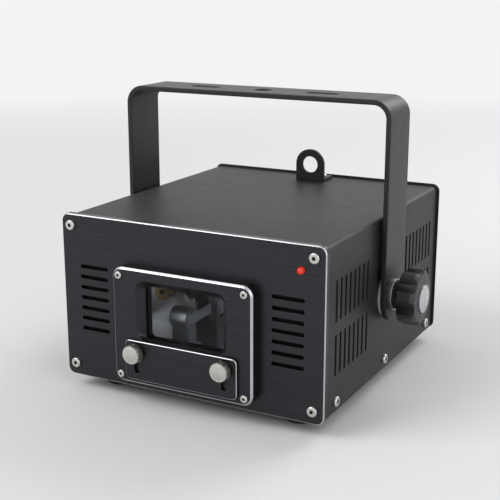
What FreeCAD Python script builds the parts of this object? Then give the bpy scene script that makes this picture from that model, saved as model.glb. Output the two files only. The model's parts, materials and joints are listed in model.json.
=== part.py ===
import FreeCAD, Part
import math
import os

# Laser show projector: a sheet-metal case on rubber feet in a tilting hanging bracket, with a red and a
# green laser inside whose joined beam two galvanometer mirrors steer out through one front window.
# Millimetres. Origin on the floor under the middle of the footprint, +Z up, the beam leaves along -Y.

V = FreeCAD.Vector
along_x = V(1, 0, 0)
along_y = V(0, 1, 0)
along_z = V(0, 0, 1)

# Clearances
overrun = 1.0            # how far a cutting tool passes the face that it cuts
screw_fit = 0.1          # radial room round a screw
turn_fit = 0.05          # radial room round a turning shaft
slide_gap = 0.3          # room between pieces that move past each other
hole_room = 0.5          # radial room of a stud or button in a plain hole
touch = 0.0001           # lengths under this count as nothing

# Case
cover_t = 1.5            # sheet thickness of the cover
bend_r = 4.0             # outer bend radius of the cover
base_t = 3.0
front_t = 5.0
rear_t = 2.0
panel_lip = 2.0          # how far the end panels stand proud of the cover
panel_corner_r = 6.0
panel_chamfer = 0.8
rail_s = 10.0            # side of the square corner rails
head_room = 19.5         # over the power supply, for wiring

# Cover vents
vent_w = 3.0
vent_h = 30.0
vent_pitch = 8.0
vent_margin = 14.0       # from an end panel, and from the bracket's arm
vent_row_gap = 9.0

# Front air slots, beside the aperture
front_slot_w = 3.0
front_slot_pitch = 8.0
front_slot_rows = 7
front_slot_gap = 10.0    # from the bezel
front_slot_edge = 2.0    # from the rail behind the panel

# Feet
foot_h = 12.0
foot_r = 14.0
foot_taper = 2.0
foot_recess_r = 5.5
foot_recess_h = 6.0
foot_inset = 28.0

# Screws: radius, head radius and head height
m4_r = 2.0
m4_head_r = 3.8
m4_head_h = 2.4
m4_socket_r = 1.5
m4_grip = 6.0            # thread in what the screw holds
m3_r = 1.5
m3_head_r = 2.8
m3_head_h = 1.8
m3_socket_r = 1.1
m3_grip = 4.0
socket_depth_share = 0.6
head_round_share = 0.45
cover_screw_inset = 18.0
base_screw_inset = 40.0

# Tilt pivot
stud_r = 4.0
pivot_plate_t = 5.0
pivot_plate_w = 46.0
boss_r = 9.0
boss_len = 8.0
friction_r = 17.0
washer_r = 12.0
washer_t = 1.6

# Hanging bracket
bracket_t = 4.0
bracket_w = 40.0
bracket_bend_r = 10.0    # inner bend radius
arm_gap = 1.0           # between an arm and the end panels' lips
swing_gap = 2.5          # between the strap and the furthest thing that it swings past
clamp_hole_r = 6.5
slot_r = 4.25
slot_len = 26.0
slot_spacing = 100.0

# Tilt knobs
knob_r = 21.0
knob_h = 20.0
knob_neck_r = 11.0
knob_neck_h = 5.0
knob_flutes = 7
knob_flute_r = 9.0
knob_flute_bite = 3.2
knob_round = 4.0
knob_dish = 1.2
stud_in_knob = 12.0

# Front aperture
window_w = 64.0
window_h = 40.0
window_corner_r = 3.0
glass_t = 3.0
glass_lap = 5.0
glass_gap = 0.3
gasket_t = 1.0
bezel_t = 9.0
bezel_side = 25.0        # bezel beside the window
bezel_top = 13.0
bezel_foot = 34.0        # bezel under the window, where the mask rests
bezel_corner_r = 8.0
bezel_chamfer = 1.5
bezel_flare = 5.0
bezel_screw_inset = 6.0

# Sliding mask and its thumbscrews
mask_t = 2.0
mask_side_gap = 11.0     # from the mask's side to the bezel's
mask_h = 30.0
mask_travel = 14.0
mask_corner_r = 4.0
mask_slot_edge = 6.0     # from the slot to the mask's top edge
thumb_inset = 10.0       # from the mask's side to the screw
thumb_r = 7.0
thumb_head_h = 6.5
thumb_neck_r = 4.6
thumb_neck_h = 1.5
thumb_flutes = 24
thumb_flute_r = 0.7
thumb_grip = 6.0

# Lamps
lamp_r = 2.5
lamp_rim = 0.8
lamp_rim_t = 1.0
lamp_proud = 1.4
lamp_tail = 4.0
front_lamp_inset = 16.0

# Optics plate and laser modules
standoff_h = 8.0
standoff_r = 5.0
standoff_inset = 14.0
plate_t = 8.0
plate_gap = 2.0          # from the plate to the rail beside it
plate_side = 34.0        # plate beside the red module, under the scanners
plate_front_gap = 6.0
beam_h = 28.0            # beam height over the plate
module_w = 36.0
module_h = 42.0
module_l = 92.0          # green module
red_module_l = 72.0
module_edge = 4.0        # from the green module to the plate's edge
module_gap = 8.0
module_fins = 5
module_fin_h = 10.0
module_fin_gap_share = 0.5
barrel_r = 7.0
barrel_proud = 9.0
barrel_depth = 12.0
barrel_bore_r = 2.5
front_bay = 50.0         # from the front panel to the line where the beams join
fold_run = 30.0          # from that line to the green module
rear_bay = 53.0          # behind the modules, with the fan
scanner_gap = 7.5        # from the red module's side to the first galvanometer mirror's middle

# Folding and joining mirrors on their posts
fold_angle = 45.0        # degrees, of every mirror to the beam
mirror_s = 16.0
mirror_t = 2.0
post_w = 18.0
post_t = 5.0
post_foot_t = 4.0
post_foot_s = 20.0
post_bore_r = 4.0
post_over = 10.0         # post above the beam

# Galvanometer scanners
mirror_sep = 12.0        # height between the two steering mirrors
motor_r = 8.0
motor_l = 34.0
motor_run = 10.0         # from a mirror's middle to its motor
motor_wall = 5.0
galvo_clamp_l = 20.0
shaft_r = 1.5
shaft_in = 12.0
x_mirror_l = 9.0
x_mirror_w = 7.0
y_mirror_l = 14.0
y_mirror_w = 9.0
steer_mirror_t = 1.2

# Beam shutter
shutter_run = 15.0       # from the first steering mirror back to the flag
shutter_side = 24.0      # from the beam to the shutter's shaft
solenoid_r = 8.0
solenoid_l = 14.0
solenoid_foot_t = 4.0
flag_w = 8.0
flag_t = 1.0
flag_over = 4.0

# Driver boards
board_t = 1.6
driver_post_h = 4.0
driver_post_r = 2.0
driver_edge = 5.0
driver_part_h = 8.0
driver_part_share = 0.45
galvo_board_l = 52.0
galvo_board_h = 70.0
galvo_board_gap = 6.0
galvo_board_start = 22.0
board_bay_w = 23.5
board_foot_w = 13.0
board_foot_t = 3.0

# Power supply
psu_w = 38.0
psu_l = 129.0
psu_h = 98.0
psu_wall = 1.2
psu_front_gap = 1.0
psu_rear_gap = 45.0
psu_gap = 2.5
psu_slot_w = 3.0
psu_slot_pitch = 8.0
psu_slot_margin = 12.0
psu_end_gap = 10.0
psu_bobbin_r = 12.0

# Fan and its guard
fan_s = 70.0
fan_t = 25.0
fan_corner_r = 4.0
fan_duct_r = 33.0
fan_screw_spacing = 60.0
fan_gap = 3.0
fan_base_r = 14.0
fan_base_t = 4.0
fan_struts = 4
fan_strut_w = 4.0
hub_r = 14.5
hub_gap = 1.0
hub_proud_gap = 2.0      # hub face behind the panel's inner face
blade_count = 7
blade_t = 1.5
blade_root_chord = 13.0
blade_tip_chord = 21.0
blade_root_angle = 52.0  # degrees
blade_tip_angle = 30.0   # degrees
blade_tip_gap = 1.5
fan_shaft_r = 1.5
wire_r = 1.0
guard_rings = 4
guard_lay_share = 0.6    # how far the wires lie over the spokes, of the wire's radius

# Rear connectors
connector_gap = 5.0
flange_t = 2.5
flange_corner_r = 3.0
data_w = 26.0            # round data sockets
data_h = 31.0
data_screw_x = 19.0
data_screw_z = 24.0
data_barrel_r = 11.0
data_depth = 20.0
data_cavity_r = 8.2
data_cavity_depth = 15.0
data_pin_r = 1.2
data_pin_circle_r = 4.4
data_pin_short = 3.0
data_groove_r = 9.4
data_insert_r = 7.2
data_hole_depth = 9.0
data_latch_w = 8.0
data_latch_h = 3.0
data_latch_t = 1.6
scan_w = 53.0            # 25-way data socket
scan_h = 12.5
scan_shell_w = 39.0
scan_shell_h = 9.0
scan_shell_wall = 0.8
scan_shell_proud = 6.0
scan_shell_slope = 1.4
scan_flange_t = 1.2
scan_depth = 11.0
scan_pin_r = 0.5
scan_pin_pitch = 2.77
scan_pin_rows = 2.84     # between the two rows
scan_pin_counts = (13, 12)
scan_nut_r = 3.0
scan_nut_h = 5.5
scan_nut_spacing = 47.1
inlet_w = 33.0           # mains inlet with its fuse drawer
inlet_h = 38.0
inlet_flange_t = 3.0
inlet_body_w = 28.0
inlet_body_h = 33.0
inlet_depth = 24.0
inlet_socket_w = 24.4
inlet_socket_h = 16.6
inlet_socket_depth = 17.0
inlet_socket_cut = 4.5
inlet_socket_round = 0.5
inlet_socket_up = 6.5
inlet_pin_w = 2.0
inlet_pin_h = 4.0
inlet_pin_pitch = 7.0
inlet_pin_offset = 2.0
inlet_pin_short = 3.0
fuse_w = 23.0
fuse_h = 7.5
fuse_depth = 19.0
fuse_down = 11.0
fuse_lip = 1.2
fuse_lip_t = 1.6
row_a_edge = 22.0        # lowest row of connectors, over the base's underside
row_b_edge = 56.0
lamp_rise = 20.0         # from that row to the lamps
menu_rise = 17.0         # from the lamps to the menu's row

# Power switch
rocker_w = 11.0
rocker_l = 17.0
rocker_mid_h = 3.2
rocker_end_h = 4.4
rocker_sink = 5.0
rocker_angle = 10.0       # degrees to each side
rocker_pin_r = 1.2
rocker_pin_l = 1.4
rocker_frame_edge = 3.5
rocker_frame_t = 2.0
rocker_body_depth = 17.0
rocker_body_wall = 2.0

# Key switch
lock_flange_r = 10.0
lock_flange_h = 3.0
lock_body_r = 8.0
lock_depth = 22.0
lock_chamfer = 1.0
plug_r = 6.0
plug_depth = 16.0
plug_proud = 0.4
key_reach = 17.0
key_t = 2.0
key_bow_w = 17.0
key_bow_l = 11.0
key_neck_w = 7.0
key_hole_r = 2.0

# Menu display, buttons, gain knob and the board behind them
display_w = 50.0
display_h = 19.0
display_t = 2.0
display_corner_r = 2.0
display_body_w = 42.0
display_body_h = 14.0
button_r = 3.6
button_proud = 2.2
button_round = 0.8
button_rim = 1.0
button_rim_t = 1.2
button_travel = 1.2
button_pitch = 12.0
button_count = 4
rear_lamp_count = 3
gain_r = 6.0
gain_h = 9.0
gain_flutes = 18
gain_flute_r = 0.6
gain_skirt = 1.2         # plain band under the flutes
gain_shaft_r = 3.0
gain_side = 3.5          # from the knob to the cover
gain_mark_w = 1.2
gain_mark_depth = 0.8
panel_board_gap = 14.0
panel_board_below = 23.0
panel_board_above = 14.0
panel_chip_share = 1 / 6 # side of a chip, of the board's width
menu_gap = 3.5          # from that board to the rail over it
panel_post_r = 3.0
switch_r = 1.8
pot_s = 10.0
pot_h = 7.0
mic_hole_r = 1.2         # sound pick-up, beside the lamps
mic_r = 4.8
mic_gap = 0.5            # from the capsule to the panel

# Safety-cable anchor
anchor_w = 26.0
anchor_foot_l = 20.0
anchor_t = 2.5
anchor_hole_r = 7.0
anchor_rise = 14.0       # hole's middle over the cover
anchor_setback = 26.0
anchor_screw_x = 7.5

# Wiring
core_r = 1.2
core_pitch = 6.0
lead_r = 1.8
lead_bend_r = 9.0

# The case's outer size follows what stands side by side, in line and on top of each other inside it
plate_w = module_edge + 2 * module_w + module_gap + plate_side
inner_row = rail_s + plate_gap + plate_w + board_bay_w + psu_w + psu_gap + pivot_plate_t + boss_len
button_row = 2 * button_r + (button_count - 1) * button_pitch
rear_row = (fan_gap + rail_s + fan_s + connector_gap + display_w + connector_gap + button_row
            + connector_gap + 2 * gain_r + gain_side)
case_w = 2 * cover_t + max(inner_row, rear_row)
optics_row = front_bay + fold_run + module_l + rear_bay
supply_row = front_bay + psu_front_gap + psu_l + psu_rear_gap
inner_d = max(optics_row, supply_row)
case_d = front_t + inner_d + rear_t
base_z = foot_h
base_top = base_z + base_t
menu_stack = row_b_edge + lamp_rise + menu_rise + panel_board_above + menu_gap + rail_s - base_t
case_top = base_top + max(psu_h + head_room, menu_stack) + cover_t
in_x = case_w / 2 - cover_t
in_top = case_top - cover_t

# What stands proud of the end panels sets the middle of the footprint
mask_y = bezel_t + slide_gap + mask_t
front_reach = mask_y + slide_gap + thumb_neck_h + thumb_head_h
rear_reach = lock_flange_h + plug_proud + key_reach
front_y = (front_reach - rear_reach - case_d) / 2
rear_y = front_y + case_d
in_y0 = front_y + front_t
in_y1 = rear_y - rear_t
pivot_y = front_y + case_d / 2
pivot_z = (base_z + case_top) / 2

# Optics, from the left wall to the aperture
plate_x0 = rail_s + plate_gap - in_x
plate_x1 = plate_x0 + plate_w
plate_z0 = base_top + standoff_h
plate_z1 = plate_z0 + plate_t
green_x = plate_x0 + module_edge + module_w / 2
red_x = green_x + module_w + module_gap
exit_x = red_x + module_w / 2 + scanner_gap
join_y = in_y0 + front_bay
module_y0 = join_y + fold_run
module_y1 = module_y0 + module_l
beam_z = plate_z1 + beam_h
exit_z = beam_z + mirror_sep
module_z1 = plate_z1 + module_h

# Aperture, from the beam's exit
bezel_x = window_w / 2 + bezel_side
bezel_z0 = exit_z - window_h / 2 - bezel_foot
bezel_z1 = exit_z + window_h / 2 + bezel_top
mask_x = bezel_x - mask_side_gap
mask_z1 = exit_z - window_h / 2
thumb_x = mask_x - thumb_inset
thumb_z = mask_z1 - mask_slot_edge - m4_r - slide_gap

# Power supply against the right pivot's boss
psu_x1 = in_x - pivot_plate_t - boss_len - psu_gap
psu_x0 = psu_x1 - psu_w
psu_y0 = join_y + psu_front_gap
psu_y1 = psu_y0 + psu_l

# Rear panel, from the fan at one side to the connectors at the other
fan_x = fan_gap + rail_s + fan_s / 2 - in_x
fan_y0 = in_y1 - fan_t
connector_x0 = fan_x + fan_s / 2 + connector_gap
row_a_z = base_z + row_a_edge
row_b_z = base_z + row_b_edge
row_c_z = in_top - rail_s - menu_gap - panel_board_above
row_lamp_z = row_c_z - menu_rise
data_in_x = connector_x0 + data_w / 2
data_out_x = data_in_x + data_w + connector_gap
inlet_x = data_out_x + data_w / 2 + connector_gap + inlet_w / 2
scan_x = connector_x0 + scan_w / 2
rocker_frame_w = rocker_w + 2 * rocker_frame_edge
rocker_frame_l = rocker_l + 2 * rocker_frame_edge
rocker_x = scan_x + scan_w / 2 + connector_gap + rocker_frame_w / 2
lock_x = rocker_x + rocker_frame_w / 2 + connector_gap + lock_flange_r
display_x = connector_x0 + display_w / 2
button_x0 = display_x + display_w / 2 + connector_gap + button_r
button_xs = [button_x0 + n * button_pitch for n in range(button_count)]
gain_x = button_xs[-1] + button_r + connector_gap + gain_r
mic_x = button_xs[-1]
board_y1 = in_y1 - panel_board_gap

# Bracket, far enough out to swing past everything on the end panels
friction_t = panel_lip + arm_gap
arm_x = case_w / 2 + friction_t
corner_swing = math.hypot(case_d / 2, case_top + panel_lip - pivot_z)
thumb_swing = math.hypot(case_d / 2 + front_reach, abs(thumb_z - pivot_z) + thumb_r)
key_swing = math.hypot(case_d / 2 + rear_reach, abs(row_b_z - pivot_z) + key_bow_w / 2)
strap_z0 = pivot_z + max(corner_swing, thumb_swing, key_swing) + swing_gap
strap_z1 = strap_z0 + bracket_t
washer_x = arm_x + bracket_t
knob_x = washer_x + washer_t + slide_gap


# Shapes in general

def on_x(x):
    return lambda u, v: V(x, u, v)


def on_y(y):
    return lambda u, v: V(u, y, v)


def on_z(z):
    return lambda u, v: V(u, v, z)


def box(x0, x1, y0, y1, z0, z1):
    return Part.makeBox(x1 - x0, y1 - y0, z1 - z0, V(x0, y0, z0))


def rod(radius, start, end):
    return Part.makeCylinder(radius, (end - start).Length, start, end - start)


def outline(corners, radii, place):
    """A wire through 2-D corners, each rounded by its radius, put in space by place(u, v)."""
    ends = []
    for n, corner in enumerate(corners):
        here = V(*corner, 0)
        back = (V(*corners[n - 1], 0) - here).normalize()
        ahead = (V(*corners[(n + 1) % len(corners)], 0) - here).normalize()
        half = back.getAngle(ahead) / 2
        radius = radii[n]
        inward = (back + ahead).normalize()
        reach = radius / math.tan(half)
        middle = here + inward * (radius / math.sin(half) - radius)
        ends.append((here + back * reach, middle, here + ahead * reach, radius))
    edges = []
    for n, (start, middle, end, radius) in enumerate(ends):
        if radius > 0:
            arc = Part.Arc(*[place(p.x, p.y) for p in (start, middle, end)])
            edges.append(arc.toShape())
        following = ends[(n + 1) % len(ends)][0]
        if (following - end).Length > touch:
            edges.append(Part.makeLine(place(end.x, end.y), place(following.x, following.y)))
    return Part.Wire(edges)


def rectangle(u0, u1, v0, v1, radius, place):
    return outline([(u0, v0), (u1, v0), (u1, v1), (u0, v1)], [radius] * 4, place)


def prism(wire, direction):
    return Part.Face(wire).extrude(direction)


def panel(x0, x1, z0, z1, y0, y1, radius):
    """A plate across Y with rounded corners."""
    return prism(rectangle(x0, x1, z0, z1, radius, on_y(y0)), V(0, y1 - y0, 0))


def slab(x0, x1, y0, y1, z0, z1, radius):
    """A plate across Z with rounded corners."""
    return prism(rectangle(x0, x1, y0, y1, radius, on_z(z0)), V(0, 0, z1 - z0))


def edges_at(shape, axis, value):
    """The edges of a shape that lie in the plane where a coordinate has this value."""
    low = axis + "Min"
    high = axis + "Max"
    return [e for e in shape.Edges
            if abs(getattr(e.BoundBox, low) - value) < touch
            and abs(getattr(e.BoundBox, high) - value) < touch]


def fuse(first, *others):
    return first.multiFuse(list(others)).removeSplitter()


def cut(shape, *tools):
    return shape.cut(list(tools))


def turned(shape, centre, axis, degrees):
    copy = shape.copy()
    copy.rotate(centre, axis, degrees)
    return copy


def other_side(shape):
    return shape.mirror(V(0, 0, 0), along_x)


def ring_of(shape, count, centre, axis):
    return [turned(shape, centre, axis, 360 * n / count) for n in range(count)]


def lathe(points, radii, centre, axis):
    """Turns a profile of (radius, height) points round an axis through centre."""
    profile = outline(points, radii, on_y(0))
    solid = Part.Face(profile).revolve(V(0, 0, 0), along_z, 360)
    solid.Placement = FreeCAD.Placement(centre, FreeCAD.Rotation(along_z, axis))
    return solid


def hexagon(radius, centre, axis, height):
    corners = [(radius * math.cos(math.radians(a)), radius * math.sin(math.radians(a)))
               for a in range(0, 360, 60)]
    solid = prism(outline(corners, [0] * 6, on_z(0)), V(0, 0, height))
    solid.Placement = FreeCAD.Placement(centre, FreeCAD.Rotation(along_z, axis))
    return solid


def screw(seat, out, radius, head_r, head_h, socket_r, length):
    """A button-head screw: its head stands on seat and points out, its shank goes the other way."""
    profile = [(0, 0), (head_r, 0), (head_r, head_h), (0, head_h)]
    head = lathe(profile, [0, 0, head_h * head_round_share, 0], seat, out)
    depth = head_h * socket_depth_share
    socket = hexagon(socket_r, seat + out * (head_h - depth), out, depth + overrun)
    return cut(fuse(head, rod(radius, seat + out * (head_h - depth) / 2, seat - out * length)), socket)


def m4(seat, out, length):
    return screw(seat, out, m4_r, m4_head_r, m4_head_h, m4_socket_r, length)


def m3(seat, out, length):
    return screw(seat, out, m3_r, m3_head_r, m3_head_h, m3_socket_r, length)


def holes(seats, out, radius, length, fit=screw_fit):
    """Round holes for screws that stand on these seats."""
    return [rod(radius + fit, seat + out * overrun, seat - out * length) for seat in seats]


def compound(shapes):
    return Part.makeCompound(list(shapes))


# Where the screws sit

rail_xs = [rail_s / 2 - in_x, in_x - rail_s / 2]
rail_zs = [base_top + rail_s / 2, in_top - rail_s / 2]
front_seats = [V(x, front_y, z) for x in rail_xs for z in rail_zs]
rear_seats = [V(x, rear_y, z) for x in rail_xs for z in rail_zs]
cover_ys = [in_y0 + cover_screw_inset, pivot_y, in_y1 - cover_screw_inset]
cover_seats = [V(case_w / 2, y, rail_zs[0]) for y in cover_ys]
base_ys = [in_y0 + base_screw_inset, in_y1 - base_screw_inset]
base_seats = [V(x, y, base_z) for x in rail_xs for y in base_ys]
foot_xs = [foot_inset - case_w / 2, case_w / 2 - foot_inset]
foot_ys = [front_y + foot_inset, rear_y - foot_inset]
foot_seats = [V(x, y, foot_recess_h) for x in foot_xs for y in foot_ys]
fan_seats = [V(fan_x + sx * fan_screw_spacing / 2, rear_y, pivot_z + sz * fan_screw_spacing / 2)
             for sx in (-1, 1) for sz in (-1, 1)]
anchor_y = in_y1 - anchor_setback
anchor_seats = [V(sx * anchor_screw_x, anchor_y + anchor_foot_l / 2, case_top + anchor_t) for sx in (-1, 1)]
bezel_seats = [V(exit_x + sx * (bezel_x - bezel_screw_inset), front_y - bezel_t, z)
               for sx in (-1, 1) for z in (bezel_z0 + bezel_screw_inset, bezel_z1 - bezel_screw_inset)]
data_seats = [V(x + s * data_screw_x / 2, rear_y + flange_t, row_a_z - s * data_screw_z / 2)
              for x in (data_in_x, data_out_x) for s in (-1, 1)]
thumb_seats = [V(exit_x + sx * thumb_x, front_y - bezel_t, thumb_z) for sx in (-1, 1)]
front_lamp = V(case_w / 2 - front_lamp_inset, front_y, case_top - front_lamp_inset)
rear_lamps = [V(x, rear_y, row_lamp_z) for x in button_xs[:rear_lamp_count]]


# Case

def base_plate():
    plate = box(-in_x, in_x, in_y0, in_y1, base_z, base_top)
    return cut(plate, *holes(base_seats, -along_z, m4_r, base_t + overrun),
               *holes(foot_seats, -along_z, m4_r, foot_h))


def frame_rails():
    chamfer = bend_r
    section = [(in_x - rail_s, in_top - rail_s), (in_x, in_top - rail_s), (in_x, in_top - chamfer),
               (in_x - chamfer, in_top), (in_x - rail_s, in_top)]
    upper = prism(outline(section, [0] * 5, on_y(in_y0)), V(0, inner_d, 0))
    lower = box(in_x - rail_s, in_x, in_y0, in_y1, base_top, base_top + rail_s)
    ends = holes(front_seats, -along_y, m4_r, front_t + m4_grip + overrun)
    ends += holes(rear_seats, along_y, m4_r, rear_t + m4_grip + overrun)
    sides = holes(cover_seats, along_x, m4_r, cover_t + m4_grip + overrun)
    under = holes(base_seats, -along_z, m4_r, base_t + m4_grip + overrun)
    upper = cut(upper, *ends)
    lower = cut(lower, *ends, *sides, *under)
    return compound([upper, lower, other_side(upper), other_side(lower)])


def vent_places():
    """Middles of the vent slots, in two runs beside the bracket's arm and two rows."""
    arm = bracket_w / 2 + vent_margin
    places = []
    for start, end in ((in_y0 + vent_margin, pivot_y - arm), (pivot_y + arm, in_y1 - vent_margin)):
        count = int((end - start) / vent_pitch) + 1
        first = (start + end - (count - 1) * vent_pitch) / 2
        for row in (-1, 1):
            z = pivot_z + row * (vent_h + vent_row_gap) / 2
            places += [(first + n * vent_pitch, z) for n in range(count)]
    return places


def top_cover():
    def arch(inset, drop):
        x = case_w / 2 - inset
        corners = [(-x, base_z - drop), (-x, case_top - inset), (x, case_top - inset), (x, base_z - drop)]
        bend = bend_r - inset
        return prism(outline(corners, [0, bend, bend, 0], on_y(in_y0)), V(0, inner_d, 0))

    shell = cut(arch(0, 0), arch(cover_t, overrun))
    wall = 2 * (case_w / 2 + overrun)
    tools = []
    for y, z in vent_places():
        slot = rectangle(y - vent_w / 2, y + vent_w / 2, z - vent_h / 2, z + vent_h / 2,
                         vent_w / 2 - screw_fit, on_x(-wall / 2))
        tools.append(prism(slot, V(wall, 0, 0)))
    for seat in cover_seats:
        tools.append(rod(m4_r + screw_fit, V(-wall / 2, seat.y, seat.z), V(wall / 2, seat.y, seat.z)))
    tools.append(rod(stud_r + hole_room, V(-wall / 2, pivot_y, pivot_z), V(wall / 2, pivot_y, pivot_z)))
    tools += holes(anchor_seats, along_z, m4_r, anchor_t + cover_t + overrun)
    return cut(shell, *tools)


def end_panel(y0, y1, outer_y):
    """A plate with rounded corners that stands proud of the cover, chamfered round its outer face."""
    x = case_w / 2 + panel_lip
    plate = panel(-x, x, base_z - panel_lip, case_top + panel_lip, y0, y1, panel_corner_r)
    return plate.makeChamfer(panel_chamfer, edges_at(plate, "Y", outer_y))


def front_panel():
    plate = end_panel(front_y, in_y0, front_y)
    hole = panel(exit_x - window_w / 2, exit_x + window_w / 2, exit_z - window_h / 2, exit_z + window_h / 2,
                 front_y - overrun, in_y0 + overrun, window_corner_r)
    behind = [V(s.x, front_y, s.z) for s in bezel_seats]
    slots = []
    for n in range(front_slot_rows):
        z = pivot_z + (n - (front_slot_rows - 1) / 2) * front_slot_pitch
        for near, far in ((exit_x - bezel_x, -in_x), (exit_x + bezel_x, in_x)):
            side = math.copysign(1, far)
            ends = sorted((near + side * front_slot_gap, far - side * (rail_s + front_slot_edge)))
            slots.append(panel(*ends, z - front_slot_w / 2, z + front_slot_w / 2, front_y - overrun,
                               in_y0 + overrun, front_slot_w / 2 - screw_fit))
    return cut(plate, hole, *slots, *holes([front_lamp], -along_y, lamp_r, front_t + overrun),
               *holes(front_seats, -along_y, m4_r, front_t + overrun),
               *holes(behind, -along_y, m3_r, m3_grip + overrun))


def rear_panel():
    plate = end_panel(in_y1, rear_y, rear_y)
    back = in_y1 - overrun
    face = rear_y + overrun

    def opening(x, z, width, height, radius):
        return panel(x - width / 2, x + width / 2, z - height / 2, z + height / 2, back, face, radius)

    def round_hole(x, z, radius):
        return rod(radius, V(x, back, z), V(x, face, z))

    tools = [round_hole(fan_x, pivot_z, fan_duct_r)]
    tools += [round_hole(x, row_a_z, data_barrel_r + screw_fit) for x in (data_in_x, data_out_x)]
    tools.append(opening(inlet_x, row_a_z, inlet_body_w + 2 * screw_fit, inlet_body_h + 2 * screw_fit,
                         flange_corner_r))
    tools.append(opening(scan_x, row_b_z, scan_shell_w, scan_shell_h, scan_shell_wall))
    tools.append(opening(rocker_x, row_b_z, rocker_frame_w - 2 * rocker_body_wall,
                         rocker_frame_l - 2 * rocker_body_wall, 0))
    tools.append(round_hole(lock_x, row_b_z, lock_body_r + screw_fit))
    tools.append(opening(display_x, row_c_z, display_body_w + 2 * screw_fit,
                         display_body_h + 2 * screw_fit, 0))
    tools += [round_hole(x, row_c_z, button_r + slide_gap) for x in button_xs]
    tools.append(round_hole(gain_x, row_c_z, gain_shaft_r + slide_gap))
    tools += [round_hole(place.x, place.z, lamp_r + screw_fit) for place in rear_lamps]
    tools.append(round_hole(mic_x, row_lamp_z, mic_hole_r))
    tools += holes(rear_seats + fan_seats, along_y, m4_r, rear_t + overrun)
    tools += holes(data_seats, along_y, m3_r, flange_t + rear_t + overrun)
    return cut(plate, *tools)


def rubber_feet():
    feet = []
    for seat in foot_seats:
        middle = V(seat.x, seat.y, 0)
        top = V(seat.x, seat.y, foot_h)
        body = Part.makeCone(foot_r - foot_taper, foot_r, foot_h, middle)
        recess = rod(foot_recess_r, middle - along_z * overrun, seat)
        feet.append(cut(body, recess, rod(m4_r + screw_fit, middle, top + along_z * overrun)))
    return compound(feet)


def case_screws():
    made = [m4(s, -along_y, front_t + m4_grip) for s in front_seats]
    made += [m4(s, along_y, rear_t + m4_grip) for s in rear_seats]
    sides = [m4(s, along_x, cover_t + m4_grip) for s in cover_seats]
    made += sides + [other_side(s) for s in sides]
    made += [m4(s, -along_z, base_t + m4_grip) for s in base_seats]
    made += [m4(s, -along_z, foot_h - foot_recess_h + base_t) for s in foot_seats]
    made += [m4(s + along_y * 2 * wire_r, along_y, 2 * wire_r + rear_t + m4_grip) for s in fan_seats]
    made += [m4(s, along_z, anchor_t + cover_t + m4_grip / 2) for s in anchor_seats]
    return compound(made)


def small_screws():
    made = [m3(s, -along_y, bezel_t + m3_grip) for s in bezel_seats]
    made += [m3(s, along_y, flange_t + rear_t + m3_grip / 2) for s in data_seats]
    return compound(made)


def pivot_plates():
    plate = box(in_x - pivot_plate_t, in_x, pivot_y - pivot_plate_w / 2, pivot_y + pivot_plate_w / 2,
                base_top + rail_s, in_top - rail_s)
    end = V(in_x - pivot_plate_t - boss_len, pivot_y, pivot_z)
    boss = rod(boss_r, V(in_x, pivot_y, pivot_z), end)
    bore = rod(stud_r + turn_fit, V(in_x + overrun, pivot_y, pivot_z), end - along_x * overrun)
    right = cut(fuse(plate, boss), bore)
    return compound([right, other_side(right)])


# Bracket and tilt knobs

def hanging_bracket():
    outer_x = arm_x + bracket_t
    low = pivot_z - bracket_w / 2
    y0 = pivot_y - bracket_w / 2

    def arch(x, top, bend, bottom):
        corners = [(-x, bottom), (-x, top), (x, top), (x, bottom)]
        return prism(outline(corners, [0, bend, bend, 0], on_y(y0)), V(0, bracket_w, 0))

    strap = cut(arch(outer_x, strap_z1, bracket_bend_r + bracket_t, low),
                arch(arm_x, strap_z0, bracket_bend_r, low - overrun))
    end_r = bracket_w / 2 - slide_gap
    top = strap_z1 + overrun
    side = outline([(y0, low), (y0 + bracket_w, low), (y0 + bracket_w, top), (y0, top)],
                   [end_r, end_r, 0, 0], on_x(-outer_x - overrun))
    strap = strap.common(prism(side, V(2 * (outer_x + overrun), 0, 0)))
    strap = cut(strap, rod(stud_r + hole_room, V(-outer_x - overrun, pivot_y, pivot_z),
                           V(outer_x + overrun, pivot_y, pivot_z)),
                rod(clamp_hole_r, V(0, pivot_y, strap_z0 - overrun), V(0, pivot_y, strap_z1 + overrun)))
    for sx in (-1, 1):
        middle = sx * slot_spacing / 2
        half = slot_len / 2 - slot_r
        ends = [V(middle + s * half, pivot_y, strap_z0 - overrun) for s in (-1, 1)]
        drop = along_z * (bracket_t + 2 * overrun)
        web = box(ends[0].x, ends[1].x, pivot_y - slot_r, pivot_y + slot_r, strap_z0 - overrun,
                  strap_z1 + overrun)
        rounds = [rod(slot_r, end, end + drop) for end in ends]
        strap = cut(strap, fuse(web, *rounds))
    return strap


def pivot_ring(x0, x1, radius):
    start = V(x0, pivot_y, pivot_z)
    end = V(x1, pivot_y, pivot_z)
    hole = rod(stud_r + hole_room, start - along_x * overrun, end + along_x * overrun)
    ring = cut(rod(radius, start, end), hole)
    return compound([ring, other_side(ring)])


def friction_washers():
    return pivot_ring(case_w / 2, arm_x, friction_r)


def knob_washers():
    return pivot_ring(washer_x, washer_x + washer_t, washer_r)


def tilt_knob():
    seat = V(knob_x, pivot_y, pivot_z)
    profile = [(0, 0), (knob_neck_r, 0), (knob_neck_r, knob_neck_h), (knob_r, knob_neck_h + knob_dish),
               (knob_r, knob_h), (0, knob_h + knob_dish)]
    body = lathe(profile, [0, 0, 0, knob_dish, knob_round, 0], seat, along_x)
    bite = V(knob_x + knob_neck_h, pivot_y, pivot_z + knob_r + knob_flute_r - knob_flute_bite)
    flute = rod(knob_flute_r, bite - along_x * overrun, bite + along_x * (knob_h + overrun))
    return cut(body, *ring_of(flute, knob_flutes, seat, along_x),
               rod(stud_r, seat - along_x * overrun, seat + along_x * stud_in_knob))


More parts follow.
